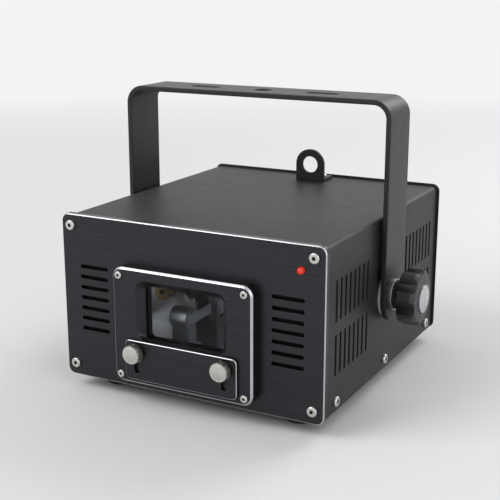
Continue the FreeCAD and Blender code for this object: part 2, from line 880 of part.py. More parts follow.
def knob_stud():
    end = V(in_x - pivot_plate_t - boss_len, pivot_y, pivot_z)
    return rod(stud_r, end, V(knob_x + stud_in_knob, pivot_y, pivot_z))


# Front aperture

def window_frame(margin, y0, y1, radius):
    """A rounded block round the window's middle, larger than the window by margin on each side."""
    x = window_w / 2 + margin
    z = window_h / 2 + margin
    return panel(exit_x - x, exit_x + x, exit_z - z, exit_z + z, y0, y1, radius)


def aperture_bezel():
    face = front_y - bezel_t
    rebate = front_y - glass_t - gasket_t
    body = panel(exit_x - bezel_x, exit_x + bezel_x, bezel_z0, bezel_z1, face, front_y, bezel_corner_r)
    body = body.makeChamfer(bezel_chamfer, edges_at(body, "Y", face))
    flare = []
    for y, grow in ((rebate, 0), (face, bezel_flare)):
        x = window_w / 2 + grow
        z1 = exit_z + window_h / 2 + grow
        flare.append(rectangle(exit_x - x, exit_x + x, mask_z1, z1, window_corner_r + grow, on_y(y)))
    pocket = window_frame(glass_lap, rebate, front_y + overrun, window_corner_r)
    through = window_frame(0, face - overrun, front_y, window_corner_r)
    return cut(body, Part.makeLoft(flare, True, True), through, pocket,
               *holes(bezel_seats, -along_y, m3_r, bezel_t + overrun),
               *holes(thumb_seats, -along_y, m4_r, thumb_grip + overrun, turn_fit))


def window_gasket():
    y0 = front_y - glass_t - gasket_t
    ring = window_frame(glass_lap - glass_gap, y0, y0 + gasket_t, window_corner_r)
    return cut(ring, window_frame(0, y0 - overrun, front_y, window_corner_r))


def exit_window():
    return window_frame(glass_lap - glass_gap, front_y - glass_t, front_y, window_corner_r)


def mask_plate():
    y1 = front_y - bezel_t - slide_gap
    y0 = y1 - mask_t
    plate = panel(exit_x - mask_x, exit_x + mask_x, mask_z1 - mask_h, mask_z1, y0, y1, mask_corner_r)
    plate = plate.makeChamfer(mask_t / 4, edges_at(plate, "Y", y0))
    slots = []
    for seat in thumb_seats:
        r = m4_r + slide_gap
        slots.append(panel(seat.x - r, seat.x + r, thumb_z - mask_travel - r, thumb_z + r,
                           y0 - overrun, y1 + overrun, r - screw_fit))
    return cut(plate, *slots)


def thumbscrew(seat):
    y = front_y - mask_y - slide_gap
    profile = [(0, 0), (thumb_neck_r, 0), (thumb_neck_r, thumb_neck_h), (thumb_r, thumb_neck_h),
               (thumb_r, thumb_neck_h + thumb_head_h), (0, thumb_neck_h + thumb_head_h)]
    edge = thumb_flute_r
    head = lathe(profile, [0, 0, 0, edge, edge, 0], V(seat.x, y, seat.z), -along_y)
    start = V(seat.x, y - thumb_neck_h + overrun / 2, seat.z + thumb_r)
    flute = rod(thumb_flute_r, start, start - along_y * (thumb_head_h + overrun))
    head = cut(head, *ring_of(flute, thumb_flutes, V(seat.x, y, seat.z), along_y))
    return fuse(head, rod(m4_r, V(seat.x, y - thumb_neck_h, seat.z), seat + along_y * thumb_grip))


def lamp(face, out, wall, tail):
    """A round-topped lamp held from inside by its rim."""
    base = face - out * (wall + tail)
    rim = face - out * wall
    tip = face + out * lamp_proud
    body = fuse(rod(lamp_r, base, tip), Part.makeSphere(lamp_r, tip))
    return fuse(body, rod(lamp_r + lamp_rim, rim - out * lamp_rim_t, rim))


def indicator_lamps():
    rear = [lamp(place, along_y, rear_t, panel_board_gap) for place in rear_lamps]
    return compound([lamp(front_lamp, -along_y, front_t, lamp_tail)] + rear)


# Rear connectors

def power_inlet():
    y = rear_y + inlet_flange_t
    flange = panel(inlet_x - inlet_w / 2, inlet_x + inlet_w / 2, row_a_z - inlet_h / 2,
                   row_a_z + inlet_h / 2, rear_y, y, flange_corner_r)
    body = panel(inlet_x - inlet_body_w / 2, inlet_x + inlet_body_w / 2, row_a_z - inlet_body_h / 2,
                 row_a_z + inlet_body_h / 2, in_y1 - inlet_depth, rear_y, flange_corner_r)
    u = inlet_socket_w / 2
    z = row_a_z + inlet_socket_up
    v = inlet_socket_h / 2
    corners = [(inlet_x - u, z - v), (inlet_x + u, z - v), (inlet_x + u, z + v - inlet_socket_cut),
               (inlet_x + u - inlet_socket_cut, z + v), (inlet_x - u + inlet_socket_cut, z + v),
               (inlet_x - u, z + v - inlet_socket_cut)]
    socket = prism(outline(corners, [inlet_socket_round] * 6, on_y(y - inlet_socket_depth)),
                   V(0, inlet_socket_depth + overrun, 0))
    fuse_z = row_a_z - fuse_down
    bay_x = fuse_w / 2 + slide_gap
    bay_z = fuse_h / 2 + slide_gap
    bay = box(inlet_x - bay_x, inlet_x + bay_x, y - fuse_depth - slide_gap, y + overrun,
              fuse_z - bay_z, fuse_z + bay_z)
    shell = cut(fuse(flange, body), socket, bay)
    pins = []
    for side, lift in ((-1, -1), (0, 1), (1, -1)):
        dx = side * inlet_pin_pitch
        dz = lift * inlet_pin_offset
        pins.append(box(inlet_x + dx - inlet_pin_w / 2, inlet_x + dx + inlet_pin_w / 2,
                        y - inlet_socket_depth - overrun, y - inlet_pin_short,
                        z + dz - inlet_pin_h / 2, z + dz + inlet_pin_h / 2))
    return fuse(shell, *pins)


def fuse_drawer():
    y = rear_y + inlet_flange_t
    z = row_a_z - fuse_down
    tray = box(inlet_x - fuse_w / 2, inlet_x + fuse_w / 2, y - fuse_depth, y + fuse_lip_t,
               z - fuse_h / 2, z + fuse_h / 2)
    lip = panel(inlet_x - fuse_w / 2 - fuse_lip, inlet_x + fuse_w / 2 + fuse_lip, z - fuse_h / 2 - fuse_lip,
                z + fuse_h / 2 + fuse_lip, y, y + fuse_lip_t, fuse_lip)
    well = box(inlet_x - fuse_w / 2 + fuse_lip, inlet_x + fuse_w / 2 - fuse_lip, y - fuse_depth + fuse_lip,
               y - fuse_lip, z, z + fuse_h)
    return cut(fuse(tray, lip), well)


def data_body(x):
    """Flange and barrel of a round data socket, before its face is cut."""
    face = rear_y + flange_t
    flange = panel(x - data_w / 2, x + data_w / 2, row_a_z - data_h / 2, row_a_z + data_h / 2,
                   rear_y, face, flange_corner_r)
    flange = flange.makeChamfer(flange_t / 4, edges_at(flange, "Y", face))
    barrel = rod(data_barrel_r, V(x, face - flange_t / 2, row_a_z), V(x, in_y1 - data_depth, row_a_z))
    mine = [s for s in data_seats if abs(s.x - x) < data_w / 2]
    return cut(fuse(flange, barrel), *holes(mine, along_y, m3_r, flange_t + overrun))


def data_pins(x, start, end, radius):
    middle = V(x, 0, row_a_z)
    first = V(x, 0, row_a_z - data_pin_circle_r)
    pin = rod(radius, V(first.x, start, first.z), V(first.x, end, first.z))
    return [turned(pin, middle, along_y, angle) for angle in (-90, 0, 90)]


def dmx_in_socket():
    face = rear_y + flange_t
    cavity = rod(data_cavity_r, V(data_in_x, face - data_cavity_depth, row_a_z),
                 V(data_in_x, face + overrun, row_a_z))
    pins = data_pins(data_in_x, face - data_cavity_depth - overrun, face - data_pin_short, data_pin_r)
    return fuse(cut(data_body(data_in_x), cavity), *pins)


def dmx_out_socket():
    face = rear_y + flange_t
    floor = V(data_out_x, face - data_cavity_depth, row_a_z)
    mouth = V(data_out_x, face + overrun, row_a_z)
    insert = rod(data_insert_r, floor - along_y * overrun, mouth + along_y * overrun)
    groove = cut(rod(data_groove_r, floor, mouth), insert)
    pin_holes = data_pins(data_out_x, face - data_hole_depth, face + overrun, data_pin_r + screw_fit)
    latch_z = row_a_z + data_barrel_r + data_latch_h / 2
    latch = panel(data_out_x - data_latch_w / 2, data_out_x + data_latch_w / 2, latch_z - data_latch_h / 2,
                  latch_z + data_latch_h / 2, face - flange_t / 2, face + data_latch_t, data_latch_h / 4)
    return fuse(cut(data_body(data_out_x), groove, *pin_holes), latch)


def scan_data_socket():
    """A 25-way plug connector: a flange with a D-shaped shell round two rows of pins, and two hex nuts."""
    face = rear_y + scan_flange_t
    tip = face + scan_shell_proud

    def shell(inset, y0, y1):
        u = scan_shell_w / 2 - inset
        v = scan_shell_h / 2 - inset
        lean = scan_shell_slope
        corners = [(scan_x - u, row_b_z + v), (scan_x - u + lean, row_b_z - v),
                   (scan_x + u - lean, row_b_z - v), (scan_x + u, row_b_z + v)]
        return prism(outline(corners, [2 * scan_shell_wall - inset] * 4, on_y(y0)), V(0, y1 - y0, 0))

    flange = panel(scan_x - scan_w / 2, scan_x + scan_w / 2, row_b_z - scan_h / 2, row_b_z + scan_h / 2,
                   rear_y, face, flange_corner_r / 2)
    nuts = []
    for sx in (-1, 1):
        seat = V(scan_x + sx * scan_nut_spacing / 2, face, row_b_z)
        nut = hexagon(scan_nut_r, seat, along_y, scan_nut_h)
        nuts.append(cut(nut, rod(scan_nut_r / 2, seat + along_y * scan_nut_h / 2,
                             seat + along_y * (scan_nut_h + overrun))))
    tail = shell(scan_shell_wall, in_y1 - scan_depth, rear_y)
    hollow = shell(scan_shell_wall, face, tip + overrun)
    body = cut(fuse(flange, shell(0, rear_y, tip), tail, *nuts), hollow)
    pins = []
    for count, row in zip(scan_pin_counts, (1, -1)):
        z = row_b_z + row * scan_pin_rows / 2
        for n in range(count):
            x = scan_x + (n - (count - 1) / 2) * scan_pin_pitch
            pins.append(rod(scan_pin_r, V(x, face - scan_flange_t / 2, z), V(x, tip - scan_shell_wall, z)))
    return fuse(body, *pins)


# Power switch and key switch

rocker_axis = V(rocker_x, rear_y - rocker_pin_r, row_b_z)


def rocker_frame():
    face = rear_y + rocker_frame_t
    u = rocker_frame_w / 2
    v = rocker_frame_l / 2
    flange = panel(rocker_x - u, rocker_x + u, row_b_z - v, row_b_z + v, rear_y, face, flange_corner_r / 2)
    edge = rocker_body_wall + screw_fit
    body = box(rocker_x - u + edge, rocker_x + u - edge, in_y1 - rocker_body_depth, rear_y,
               row_b_z - v + edge, row_b_z + v - edge)
    well_w = rocker_w / 2 + slide_gap
    well_l = rocker_l / 2 + 2 * slide_gap
    floor = rocker_axis.y - math.hypot(rocker_sink, rocker_l / 2) - slide_gap
    well = box(rocker_x - well_w, rocker_x + well_w, floor, face + overrun,
               row_b_z - well_l, row_b_z + well_l)
    reach = well_w + rocker_pin_l
    bore = rod(rocker_pin_r + turn_fit, rocker_axis - along_x * reach, rocker_axis + along_x * reach)
    return cut(fuse(flange, body), well, bore)


def power_rocker():
    """The rocker, tilted to its off side, on two small trunnions."""
    def place(u, v):
        return V(rocker_x - rocker_w / 2, rocker_axis.y + v, row_b_z + u)

    half = rocker_l / 2
    lean = rocker_sink * math.tan(math.radians(rocker_angle))
    corners = [(lean - half, -rocker_sink), (half - lean, -rocker_sink), (half, rocker_end_h),
               (0, rocker_mid_h), (-half, rocker_end_h)]
    body = prism(outline(corners, [0, 0, slide_gap, 0, slide_gap], place), V(rocker_w, 0, 0))
    pin = along_x * (rocker_w / 2 + rocker_pin_l)
    body = fuse(body, rod(rocker_pin_r, rocker_axis - pin, rocker_axis + pin))
    return turned(body, rocker_axis, along_x, -rocker_angle)


def key_lock():
    seat = V(lock_x, rear_y, row_b_z)
    profile = [(0, 0), (lock_flange_r, 0), (lock_flange_r, lock_flange_h - lock_chamfer),
               (lock_flange_r - lock_chamfer, lock_flange_h), (0, lock_flange_h)]
    flange = lathe(profile, [0] * 5, seat, along_y)
    body = rod(lock_body_r, seat + along_y * lock_flange_h / 2, seat - along_y * (rear_t + lock_depth))
    nut_seat = seat - along_y * (rear_t + lock_flange_h)
    nut = hexagon(lock_flange_r + lock_chamfer, nut_seat, along_y, lock_flange_h)
    face = seat + along_y * lock_flange_h
    bore = rod(plug_r + turn_fit, face + along_y * overrun, face - along_y * plug_depth)
    return cut(fuse(flange, body, nut), bore)


def switch_key():
    """The lock's turning plug with its key in place, standing upright at off."""
    face = V(lock_x, rear_y + lock_flange_h, row_b_z)
    plug = rod(plug_r, face - along_y * (plug_depth - slide_gap), face + along_y * plug_proud)
    tip = face.y + plug_proud + key_reach
    bow = prism(rectangle(tip - key_bow_l, tip, row_b_z - key_bow_w / 2, row_b_z + key_bow_w / 2,
                          key_bow_l / 3, on_x(lock_x - key_t / 2)), V(key_t, 0, 0))
    neck = box(lock_x - key_t / 2, lock_x + key_t / 2, face.y - plug_proud, tip - key_bow_l / 2,
               row_b_z - key_neck_w / 2, row_b_z + key_neck_w / 2)
    eye = V(lock_x, tip - key_hole_r - key_t, row_b_z)
    hole = rod(key_hole_r, eye - along_x * (key_t + overrun), eye + along_x * (key_t + overrun))
    return cut(fuse(plug, bow, neck), hole)


# Menu display, buttons and gain knob

def menu_display():
    lens = panel(display_x - display_w / 2, display_x + display_w / 2, row_c_z - display_h / 2,
                 row_c_z + display_h / 2, rear_y, rear_y + display_t, display_corner_r)
    lens = lens.makeChamfer(display_t / 4, edges_at(lens, "Y", rear_y + display_t))
    body = box(display_x - display_body_w / 2, display_x + display_body_w / 2, board_y1, rear_y,
               row_c_z - display_body_h / 2, row_c_z + display_body_h / 2)
    return fuse(lens, body)


def menu_button(x):
    foot = in_y1 - button_rim_t
    length = button_rim_t + rear_t + button_proud
    rim_r = button_r + button_rim
    profile = [(0, 0), (rim_r, 0), (rim_r, button_rim_t), (button_r, button_rim_t), (button_r, length),
               (0, length)]
    return lathe(profile, [0, 0, 0, 0, button_round, 0], V(x, foot, row_c_z), along_y)


def gain_knob():
    seat = V(gain_x, rear_y + slide_gap, row_c_z)
    profile = [(0, 0), (gain_r, 0), (gain_r, gain_h), (0, gain_h)]
    cap = lathe(profile, [0, 0, button_round, 0], seat, along_y)
    start = seat + along_z * gain_r + along_y * gain_skirt
    flute = rod(gain_flute_r, start, start + along_y * gain_h)
    mark = box(gain_x - gain_mark_w / 2, gain_x + gain_mark_w / 2, seat.y + gain_h - gain_mark_depth,
               seat.y + gain_h + overrun, row_c_z, row_c_z + gain_r)
    cap = cut(cap, *ring_of(flute, gain_flutes, V(gain_x, 0, row_c_z), along_y), mark)
    shaft_end = V(gain_x, board_y1 + pot_h + slide_gap, row_c_z)
    return fuse(cap, rod(gain_shaft_r, shaft_end, seat + along_y * gain_h / 2))


def control_board():
    """The board behind the menu, on posts from the rear panel, with its switches and gain control."""
    x0 = display_x - display_w / 2
    x1 = gain_x + gain_r
    z0 = row_c_z - panel_board_below
    z1 = row_c_z + panel_board_above
    board = box(x0, x1, board_y1 - board_t, board_y1, z0, z1)
    parts = []
    for x in (x0 + panel_post_r, x1 - panel_post_r):
        parts.append(rod(panel_post_r, V(x, board_y1 - board_t / 2, z1 - panel_post_r),
                         V(x, in_y1, z1 - panel_post_r)))
    for x in button_xs:
        end = in_y1 - button_rim_t - button_travel - slide_gap
        parts.append(rod(switch_r, V(x, board_y1 - board_t / 2, row_c_z), V(x, end, row_c_z)))
    mic = V(mic_x, board_y1 - board_t / 2, row_lamp_z)
    parts.append(rod(mic_r, mic, V(mic_x, in_y1 - mic_gap, row_lamp_z)))
    parts.append(box(gain_x - pot_s / 2, gain_x + pot_s / 2, board_y1 - board_t / 2, board_y1 + pot_h,
                     row_c_z - pot_s / 2, row_c_z + pot_s / 2))
    chip = (x1 - x0) * panel_chip_share
    for n in (2, 4):
        x = x0 + chip * n
        parts.append(box(x, x + chip, board_y1 - 2 * board_t, board_y1 - board_t / 2,
                         row_c_z - chip / 2, row_c_z + chip / 2))
    return fuse(board, *parts)


# Fan and anchor

def fan_frame():
    block = panel(fan_x - fan_s / 2, fan_x + fan_s / 2, pivot_z - fan_s / 2, pivot_z + fan_s / 2,
                  fan_y0, in_y1, fan_corner_r)
    middle = V(fan_x, fan_y0, pivot_z)
    block = cut(block, rod(fan_duct_r, middle - along_y * overrun, middle + along_y * (fan_t + overrun)),
                *holes(fan_seats, along_y, m4_r, rear_t + fan_t + overrun))
    strut = box(fan_x - fan_strut_w / 2, fan_x + fan_strut_w / 2, fan_y0, fan_y0 + fan_base_t,
                pivot_z, pivot_z + fan_duct_r + overrun)
    base = rod(fan_base_r, middle, middle + along_y * fan_base_t)
    frame = fuse(block, base, *ring_of(strut, fan_struts, middle, along_y))
    bearing_end = middle + along_y * (fan_base_t + overrun)
    return cut(frame, rod(fan_shaft_r + turn_fit, middle - along_y * overrun, bearing_end))


def fan_rotor():
    back = fan_y0 + fan_base_t + hub_gap
    face = in_y1 - hub_proud_gap
    hub = lathe([(0, 0), (hub_r, 0), (hub_r, face - back), (0, face - back)], [0, 0, hub_gap, 0],
                V(fan_x, back, pivot_z), along_y)
    tip = fan_duct_r - blade_tip_gap
    y = (back + face) / 2
    stations = ((hub_r - blade_tip_gap, blade_root_chord, blade_root_angle),
                (tip + blade_tip_gap, blade_tip_chord, blade_tip_angle))
    sections = []
    for reach, chord, angle in stations:
        flat = rectangle(-chord / 2, chord / 2, -blade_t / 2, blade_t / 2, 0, on_z(pivot_z + reach))
        flat.rotate(V(0, 0, 0), along_z, angle)
        flat.translate(V(fan_x, y, 0))
        sections.append(flat)
    blade = Part.makeLoft(sections, True, True)
    sweep = rod(tip, V(fan_x, back, pivot_z), V(fan_x, face, pivot_z))
    blades = [b.common(sweep) for b in ring_of(blade, blade_count, V(fan_x, y, pivot_z), along_y)]
    shaft = rod(fan_shaft_r, V(fan_x, fan_y0, pivot_z), V(fan_x, back + hub_gap, pivot_z))
    return fuse(hub, shaft, *blades)


def fan_guard():
    """Concentric wires laid over four spokes that end in eyelets under the fan's screws."""
    middle = V(fan_x, rear_y + wire_r, pivot_z)
    over = middle + along_y * wire_r * (1 + guard_lay_share)
    eyelet_r = m4_r + screw_fit + 2 * wire_r
    pieces = [Part.makeTorus(fan_duct_r * (n + 1) / guard_rings, wire_r, over, along_y)
              for n in range(guard_rings)]
    for seat in fan_seats:
        eyelet = rod(eyelet_r, seat, seat + along_y * 2 * wire_r)
        centre = seat + along_y * wire_r
        out = (centre - middle).normalize()
        spoke = rod(wire_r, middle + out * (fan_duct_r / guard_rings - wire_r), centre)
        pieces.append(cut(fuse(eyelet, spoke), *holes([seat + along_y * 2 * wire_r], along_y, m4_r,
                                                      2 * wire_r + overrun)))
    return fuse(pieces[0], *pieces[1:])


def safety_anchor():
    foot = slab(-anchor_w / 2, anchor_w / 2, anchor_y, anchor_y + anchor_foot_l, case_top,
                case_top + anchor_t, anchor_t)
    z = case_top + anchor_rise
    corners = [(-anchor_w / 2, case_top), (anchor_w / 2, case_top), (anchor_w / 2, z + anchor_w / 2),
               (-anchor_w / 2, z + anchor_w / 2)]
    round_top = anchor_w / 2 - slide_gap
    leg = prism(outline(corners, [0, 0, round_top, round_top], on_y(anchor_y)), V(0, anchor_t, 0))
    hole = rod(anchor_hole_r, V(0, anchor_y - overrun, z), V(0, anchor_y + anchor_t + overrun, z))
    return cut(fuse(foot, leg), hole, *holes(anchor_seats, along_z, m4_r, anchor_t + overrun))


# Optics

def optics_plate():
    y0 = in_y0 + plate_front_gap
    return slab(plate_x0, plate_x1, y0, module_y1 + module_edge, plate_z0, plate_z1, module_edge)


def plate_standoffs():
    xs = (plate_x0 + standoff_inset, plate_x1 - standoff_inset)
    ys = (in_y0 + plate_front_gap + standoff_inset, module_y1 + module_edge - standoff_inset)
    return compound(rod(standoff_r, V(x, y, base_top), V(x, y, plate_z0)) for x in xs for y in ys)


def laser_module(x, y0):
    """A finned block on the plate with a bore at beam height for its lens barrel."""
    block = box(x - module_w / 2, x + module_w / 2, y0, module_y1, plate_z1, module_z1)
    pitch = module_w / (module_fins - module_fin_gap_share)
    gap = pitch * module_fin_gap_share
    tools = []
    for n in range(module_fins - 1):
        left = x - module_w / 2 + pitch * n + pitch - gap
        tools.append(box(left, left + gap, y0 - overrun, module_y1 + overrun, module_z1 - module_fin_h,
                         module_z1 + overrun))
    tools.append(rod(barrel_r, V(x, y0 - overrun, beam_z), V(x, y0 + barrel_depth, beam_z)))
    return cut(block, *tools)


red_y0 = module_y1 - red_module_l


def lens_barrels():
    made = []
    for x, y in ((green_x, module_y0), (red_x, red_y0)):
        tube = rod(barrel_r, V(x, y - barrel_proud, beam_z), V(x, y + barrel_depth, beam_z))
        made.append(cut(tube, rod(barrel_bore_r, V(x, y - barrel_proud - overrun, beam_z),
                                  V(x, y + barrel_depth / 2, beam_z))))
    return compound(made)


def mirror_post(x):
    """A post whose face stands slantwise to the beams, with a hole for the beam from behind it."""
    middle = V(x, join_y, beam_z)
    back = join_y - mirror_t
    post = box(x - post_w / 2, x + post_w / 2, back - post_t, back, plate_z1, beam_z + post_over)
    foot = box(x - post_foot_s / 2, x + post_foot_s / 2, back - post_t - post_foot_t, back + post_foot_t,
               plate_z1, plate_z1 + post_foot_t)
    bore = rod(post_bore_r, middle - along_x * post_foot_s, middle)
    return cut(turned(fuse(post, foot), middle, along_z, -fold_angle), bore)


def mirror_posts():
    return compound([mirror_post(green_x), mirror_post(red_x)])


def beam_mirrors():
    made = []
    for x in (green_x, red_x):
        plate = box(x - mirror_s / 2, x + mirror_s / 2, join_y - mirror_t, join_y, beam_z - mirror_s / 2,
                    beam_z + mirror_s / 2)
        made.append(turned(plate, V(x, join_y, beam_z), along_z, -fold_angle))
    return compound(made)


x_motor_y = join_y + motor_run
y_motor_x = exit_x + motor_run


def galvo_block():
    half = motor_r + motor_wall
    rear = box(exit_x - half, exit_x + half, x_motor_y, x_motor_y + galvo_clamp_l, plate_z1, beam_z + half)
    side = box(y_motor_x, y_motor_x + galvo_clamp_l, join_y - half, join_y + half, plate_z1, exit_z + half)
    bores = [rod(motor_r, V(exit_x, x_motor_y - overrun, beam_z), V(exit_x, x_motor_y + motor_l, beam_z)),
             rod(motor_r, V(y_motor_x - overrun, join_y, exit_z), V(y_motor_x + motor_l, join_y, exit_z))]
    return cut(fuse(rear, side), *bores)


def galvo_motors():
    bore_r = shaft_r + turn_fit
    x_start = V(exit_x, x_motor_y, beam_z)
    y_start = V(y_motor_x, join_y, exit_z)
    x_motor = cut(rod(motor_r, x_start, x_start + along_y * motor_l),
                  rod(bore_r, x_start - along_y * overrun, x_start + along_y * (shaft_in + slide_gap)))
    y_motor = cut(rod(motor_r, y_start, y_start + along_x * motor_l),
                  rod(bore_r, y_start - along_x * overrun, y_start + along_x * (shaft_in + slide_gap)))
    return compound([x_motor, y_motor])


def galvo_x_mirror():
    """First steering mirror: turns the joined beam up, on a shaft along Y."""
    middle = V(exit_x, join_y, beam_z)
    plate = box(exit_x - x_mirror_w / 2, exit_x + x_mirror_w / 2, join_y - x_mirror_l / 2,
                join_y + x_mirror_l / 2, beam_z - steer_mirror_t, beam_z)
    plate = turned(plate, middle, along_y, -fold_angle)
    shaft = rod(shaft_r, middle + along_y * x_mirror_l / 4, middle + along_y * (motor_run + shaft_in))
    keep = turned(box(exit_x - x_mirror_w, exit_x + x_mirror_w, join_y, join_y + x_mirror_l / 2, beam_z,
                      beam_z + x_mirror_w), middle, along_y, -fold_angle)
    return fuse(plate, cut(shaft, keep))


def galvo_y_mirror():
    """Second steering mirror: turns the beam out through the window, on a shaft along X."""
    middle = V(exit_x, join_y, exit_z)
    plate = box(exit_x - y_mirror_l / 2, exit_x + y_mirror_l / 2, join_y - y_mirror_w / 2,
                join_y + y_mirror_w / 2, exit_z, exit_z + steer_mirror_t)
    plate = turned(plate, middle, along_x, -fold_angle)
    shaft = rod(shaft_r, middle + along_x * y_mirror_l / 4, middle + along_x * (motor_run + shaft_in))
    keep = turned(box(exit_x, exit_x + y_mirror_l / 2, join_y - y_mirror_w, join_y + y_mirror_w,
                      exit_z - y_mirror_w, exit_z), middle, along_x, -fold_angle)
    return fuse(plate, cut(shaft, keep))


shutter_x = exit_x - shutter_run
shutter_axis = V(shutter_x, join_y - shutter_side, beam_z)


def shutter_solenoid():
    start = shutter_axis - along_x * slide_gap
    body = rod(solenoid_r, start - along_x * solenoid_l, start)
    foot = box(start.x - solenoid_l, start.x, shutter_axis.y - solenoid_r, shutter_axis.y + solenoid_r,
               plate_z1, plate_z1 + solenoid_foot_t)
    column = box(start.x - solenoid_l, start.x, shutter_axis.y - solenoid_foot_t,
                 shutter_axis.y + solenoid_foot_t, plate_z1, beam_z)
    bore = rod(shaft_r + turn_fit, start - along_x * solenoid_l / 2, start + along_x * overrun)
    return cut(fuse(body, foot, column), bore)


def shutter_flag():
    """A thin blade across the beam, on the solenoid's shaft."""
    flag = box(shutter_x, shutter_x + flag_t, shutter_axis.y - flag_over, join_y + flag_over,
               beam_z - flag_w / 2, beam_z + flag_w / 2)
    inner = shutter_axis - along_x * (solenoid_l / 2)
    return fuse(flag, rod(shaft_r, inner, shutter_axis + along_x * flag_t))


# Electronics

def laser_driver(x, y0):
    z0 = module_z1 + driver_post_h
    x0 = x - module_w / 2
    x1 = x + module_w / 2
    y1 = module_y1
    board = box(x0, x1, y0, y1, z0, z0 + board_t)
    post_xs = (x0 + driver_post_r, x1 - driver_post_r)
    post_ys = (y0 + driver_edge, y1 - driver_edge)
    posts = [rod(driver_post_r, V(px, py, module_z1), V(px, py, z0 + board_t / 2))
             for px in post_xs for py in post_ys]
    size = module_w * driver_part_share
    sink = box(x - size / 2, x + size / 2, y0 + driver_edge, y0 + driver_edge + size, z0 + board_t / 2,
               z0 + board_t + driver_part_h)
    can = rod(size / 4, V(x, y1 - driver_edge - size, z0 + board_t / 2),
              V(x, y1 - driver_edge - size, z0 + board_t + driver_part_h))
    return fuse(board, sink, can, *posts)


def laser_driver_boards():
    return compound([laser_driver(green_x, red_y0), laser_driver(red_x, red_y0)])


def galvo_driver(y0):
    x0 = plate_x1 + galvo_board_gap
    y1 = y0 + galvo_board_l
    board = box(x0, x0 + board_t, y0, y1, base_top, base_top + galvo_board_h)
    foot = box(x0, x0 + board_foot_w, y0, y1, base_top, base_top + board_foot_t)
    size = galvo_board_l * driver_part_share
    sink = box(x0 + board_t / 2, x0 + board_t + driver_part_h, y0 + driver_edge, y0 + driver_edge + size,
               base_top + galvo_board_h - driver_edge - size, base_top + galvo_board_h - driver_edge)
    chip = box(x0 + board_t / 2, x0 + 2 * board_t, y1 - driver_edge - size / 2, y1 - driver_edge,
               base_top + galvo_board_h / 2, base_top + galvo_board_h / 2 + size / 2)
    return fuse(board, foot, sink, chip)


galvo_driver_y0 = join_y + galvo_board_start


def galvo_driver_boards():
    second = galvo_driver_y0 + galvo_board_l + galvo_board_gap
    return compound([galvo_driver(galvo_driver_y0), galvo_driver(second)])


def power_supply():
    """A vented sheet case round a board with its transformer."""
    z1 = base_top + psu_h
    case = box(psu_x0, psu_x1, psu_y0, psu_y1, base_top, z1)
    hollow = box(psu_x0 + psu_wall, psu_x1 - psu_wall, psu_y0 + psu_wall, psu_y1 - psu_wall,
                 base_top + psu_wall, z1 - psu_wall)
    tools = [hollow]
    count = int((psu_l - 2 * psu_slot_margin) / psu_slot_pitch) + 1
    for n in range(count):
        y = psu_y0 + psu_slot_margin + n * psu_slot_pitch
        tools.append(box(psu_x0 + psu_slot_margin, psu_x1 - psu_slot_margin, y - psu_slot_w / 2,
                         y + psu_slot_w / 2, z1 - psu_wall - overrun, z1 + overrun))
    board = box(psu_x0 + psu_wall / 2, psu_x1 - psu_wall / 2, psu_y0 + psu_end_gap, psu_y1 - psu_end_gap,
                base_top + psu_end_gap, base_top + psu_end_gap + board_t)
    middle = (psu_x0 + psu_x1) / 2
    core = rod(psu_bobbin_r, V(middle, (psu_y0 + psu_y1) / 2, base_top + psu_end_gap),
               V(middle, (psu_y0 + psu_y1) / 2, base_top + psu_h / 2))
    return fuse(cut(case, *tools), board, core)


def lead(points, radius):
    """A wire along straight runs joined by tangent arcs."""
    edges = []
    start = points[0]
    for before, corner, after in zip(points, points[1:], points[2:]):
        back = (before - corner).normalize()
        ahead = (after - corner).normalize()
        half = back.getAngle(ahead) / 2
        reach = lead_bend_r / math.tan(half)
        middle = corner + (back + ahead).normalize() * (lead_bend_r / math.sin(half) - lead_bend_r)
        edges.append(Part.makeLine(start, corner + back * reach))
        edges.append(Part.Arc(corner + back * reach, middle, corner + ahead * reach).toShape())
        start = corner + ahead * reach
    edges.append(Part.makeLine(start, points[-1]))
    section = Part.Wire(Part.makeCircle(radius, points[0], points[1] - points[0]))
    return Part.Wire(edges).makePipeShell([section], True, False)


def wiring_loom():
    """Mains cores from the inlet to the supply, and the scanner motors' leads to their driver boards."""
    core_xs = [inlet_x + n * core_pitch for n in (-1, 0, 1)]
    cores = [rod(core_r, V(x, psu_y1, row_a_z), V(x, in_y1 - inlet_depth, row_a_z)) for x in core_xs]
    board_x = plate_x1 + galvo_board_gap
    x_start = V(exit_x, x_motor_y + motor_l, beam_z)
    x_turn = x_start + along_y * 2 * lead_bend_r
    x_lead = lead([x_start, x_turn, V(board_x, x_turn.y, beam_z)], lead_r)
    y_start = V(board_x + board_t / 2, join_y, exit_z - motor_r)
    y_turn = y_start - along_z * 2 * lead_bend_r
    y_lead = lead([y_start, y_turn, V(y_turn.x, galvo_driver_y0, y_turn.z)], core_r)
    return compound(cores + [x_lead, y_lead])


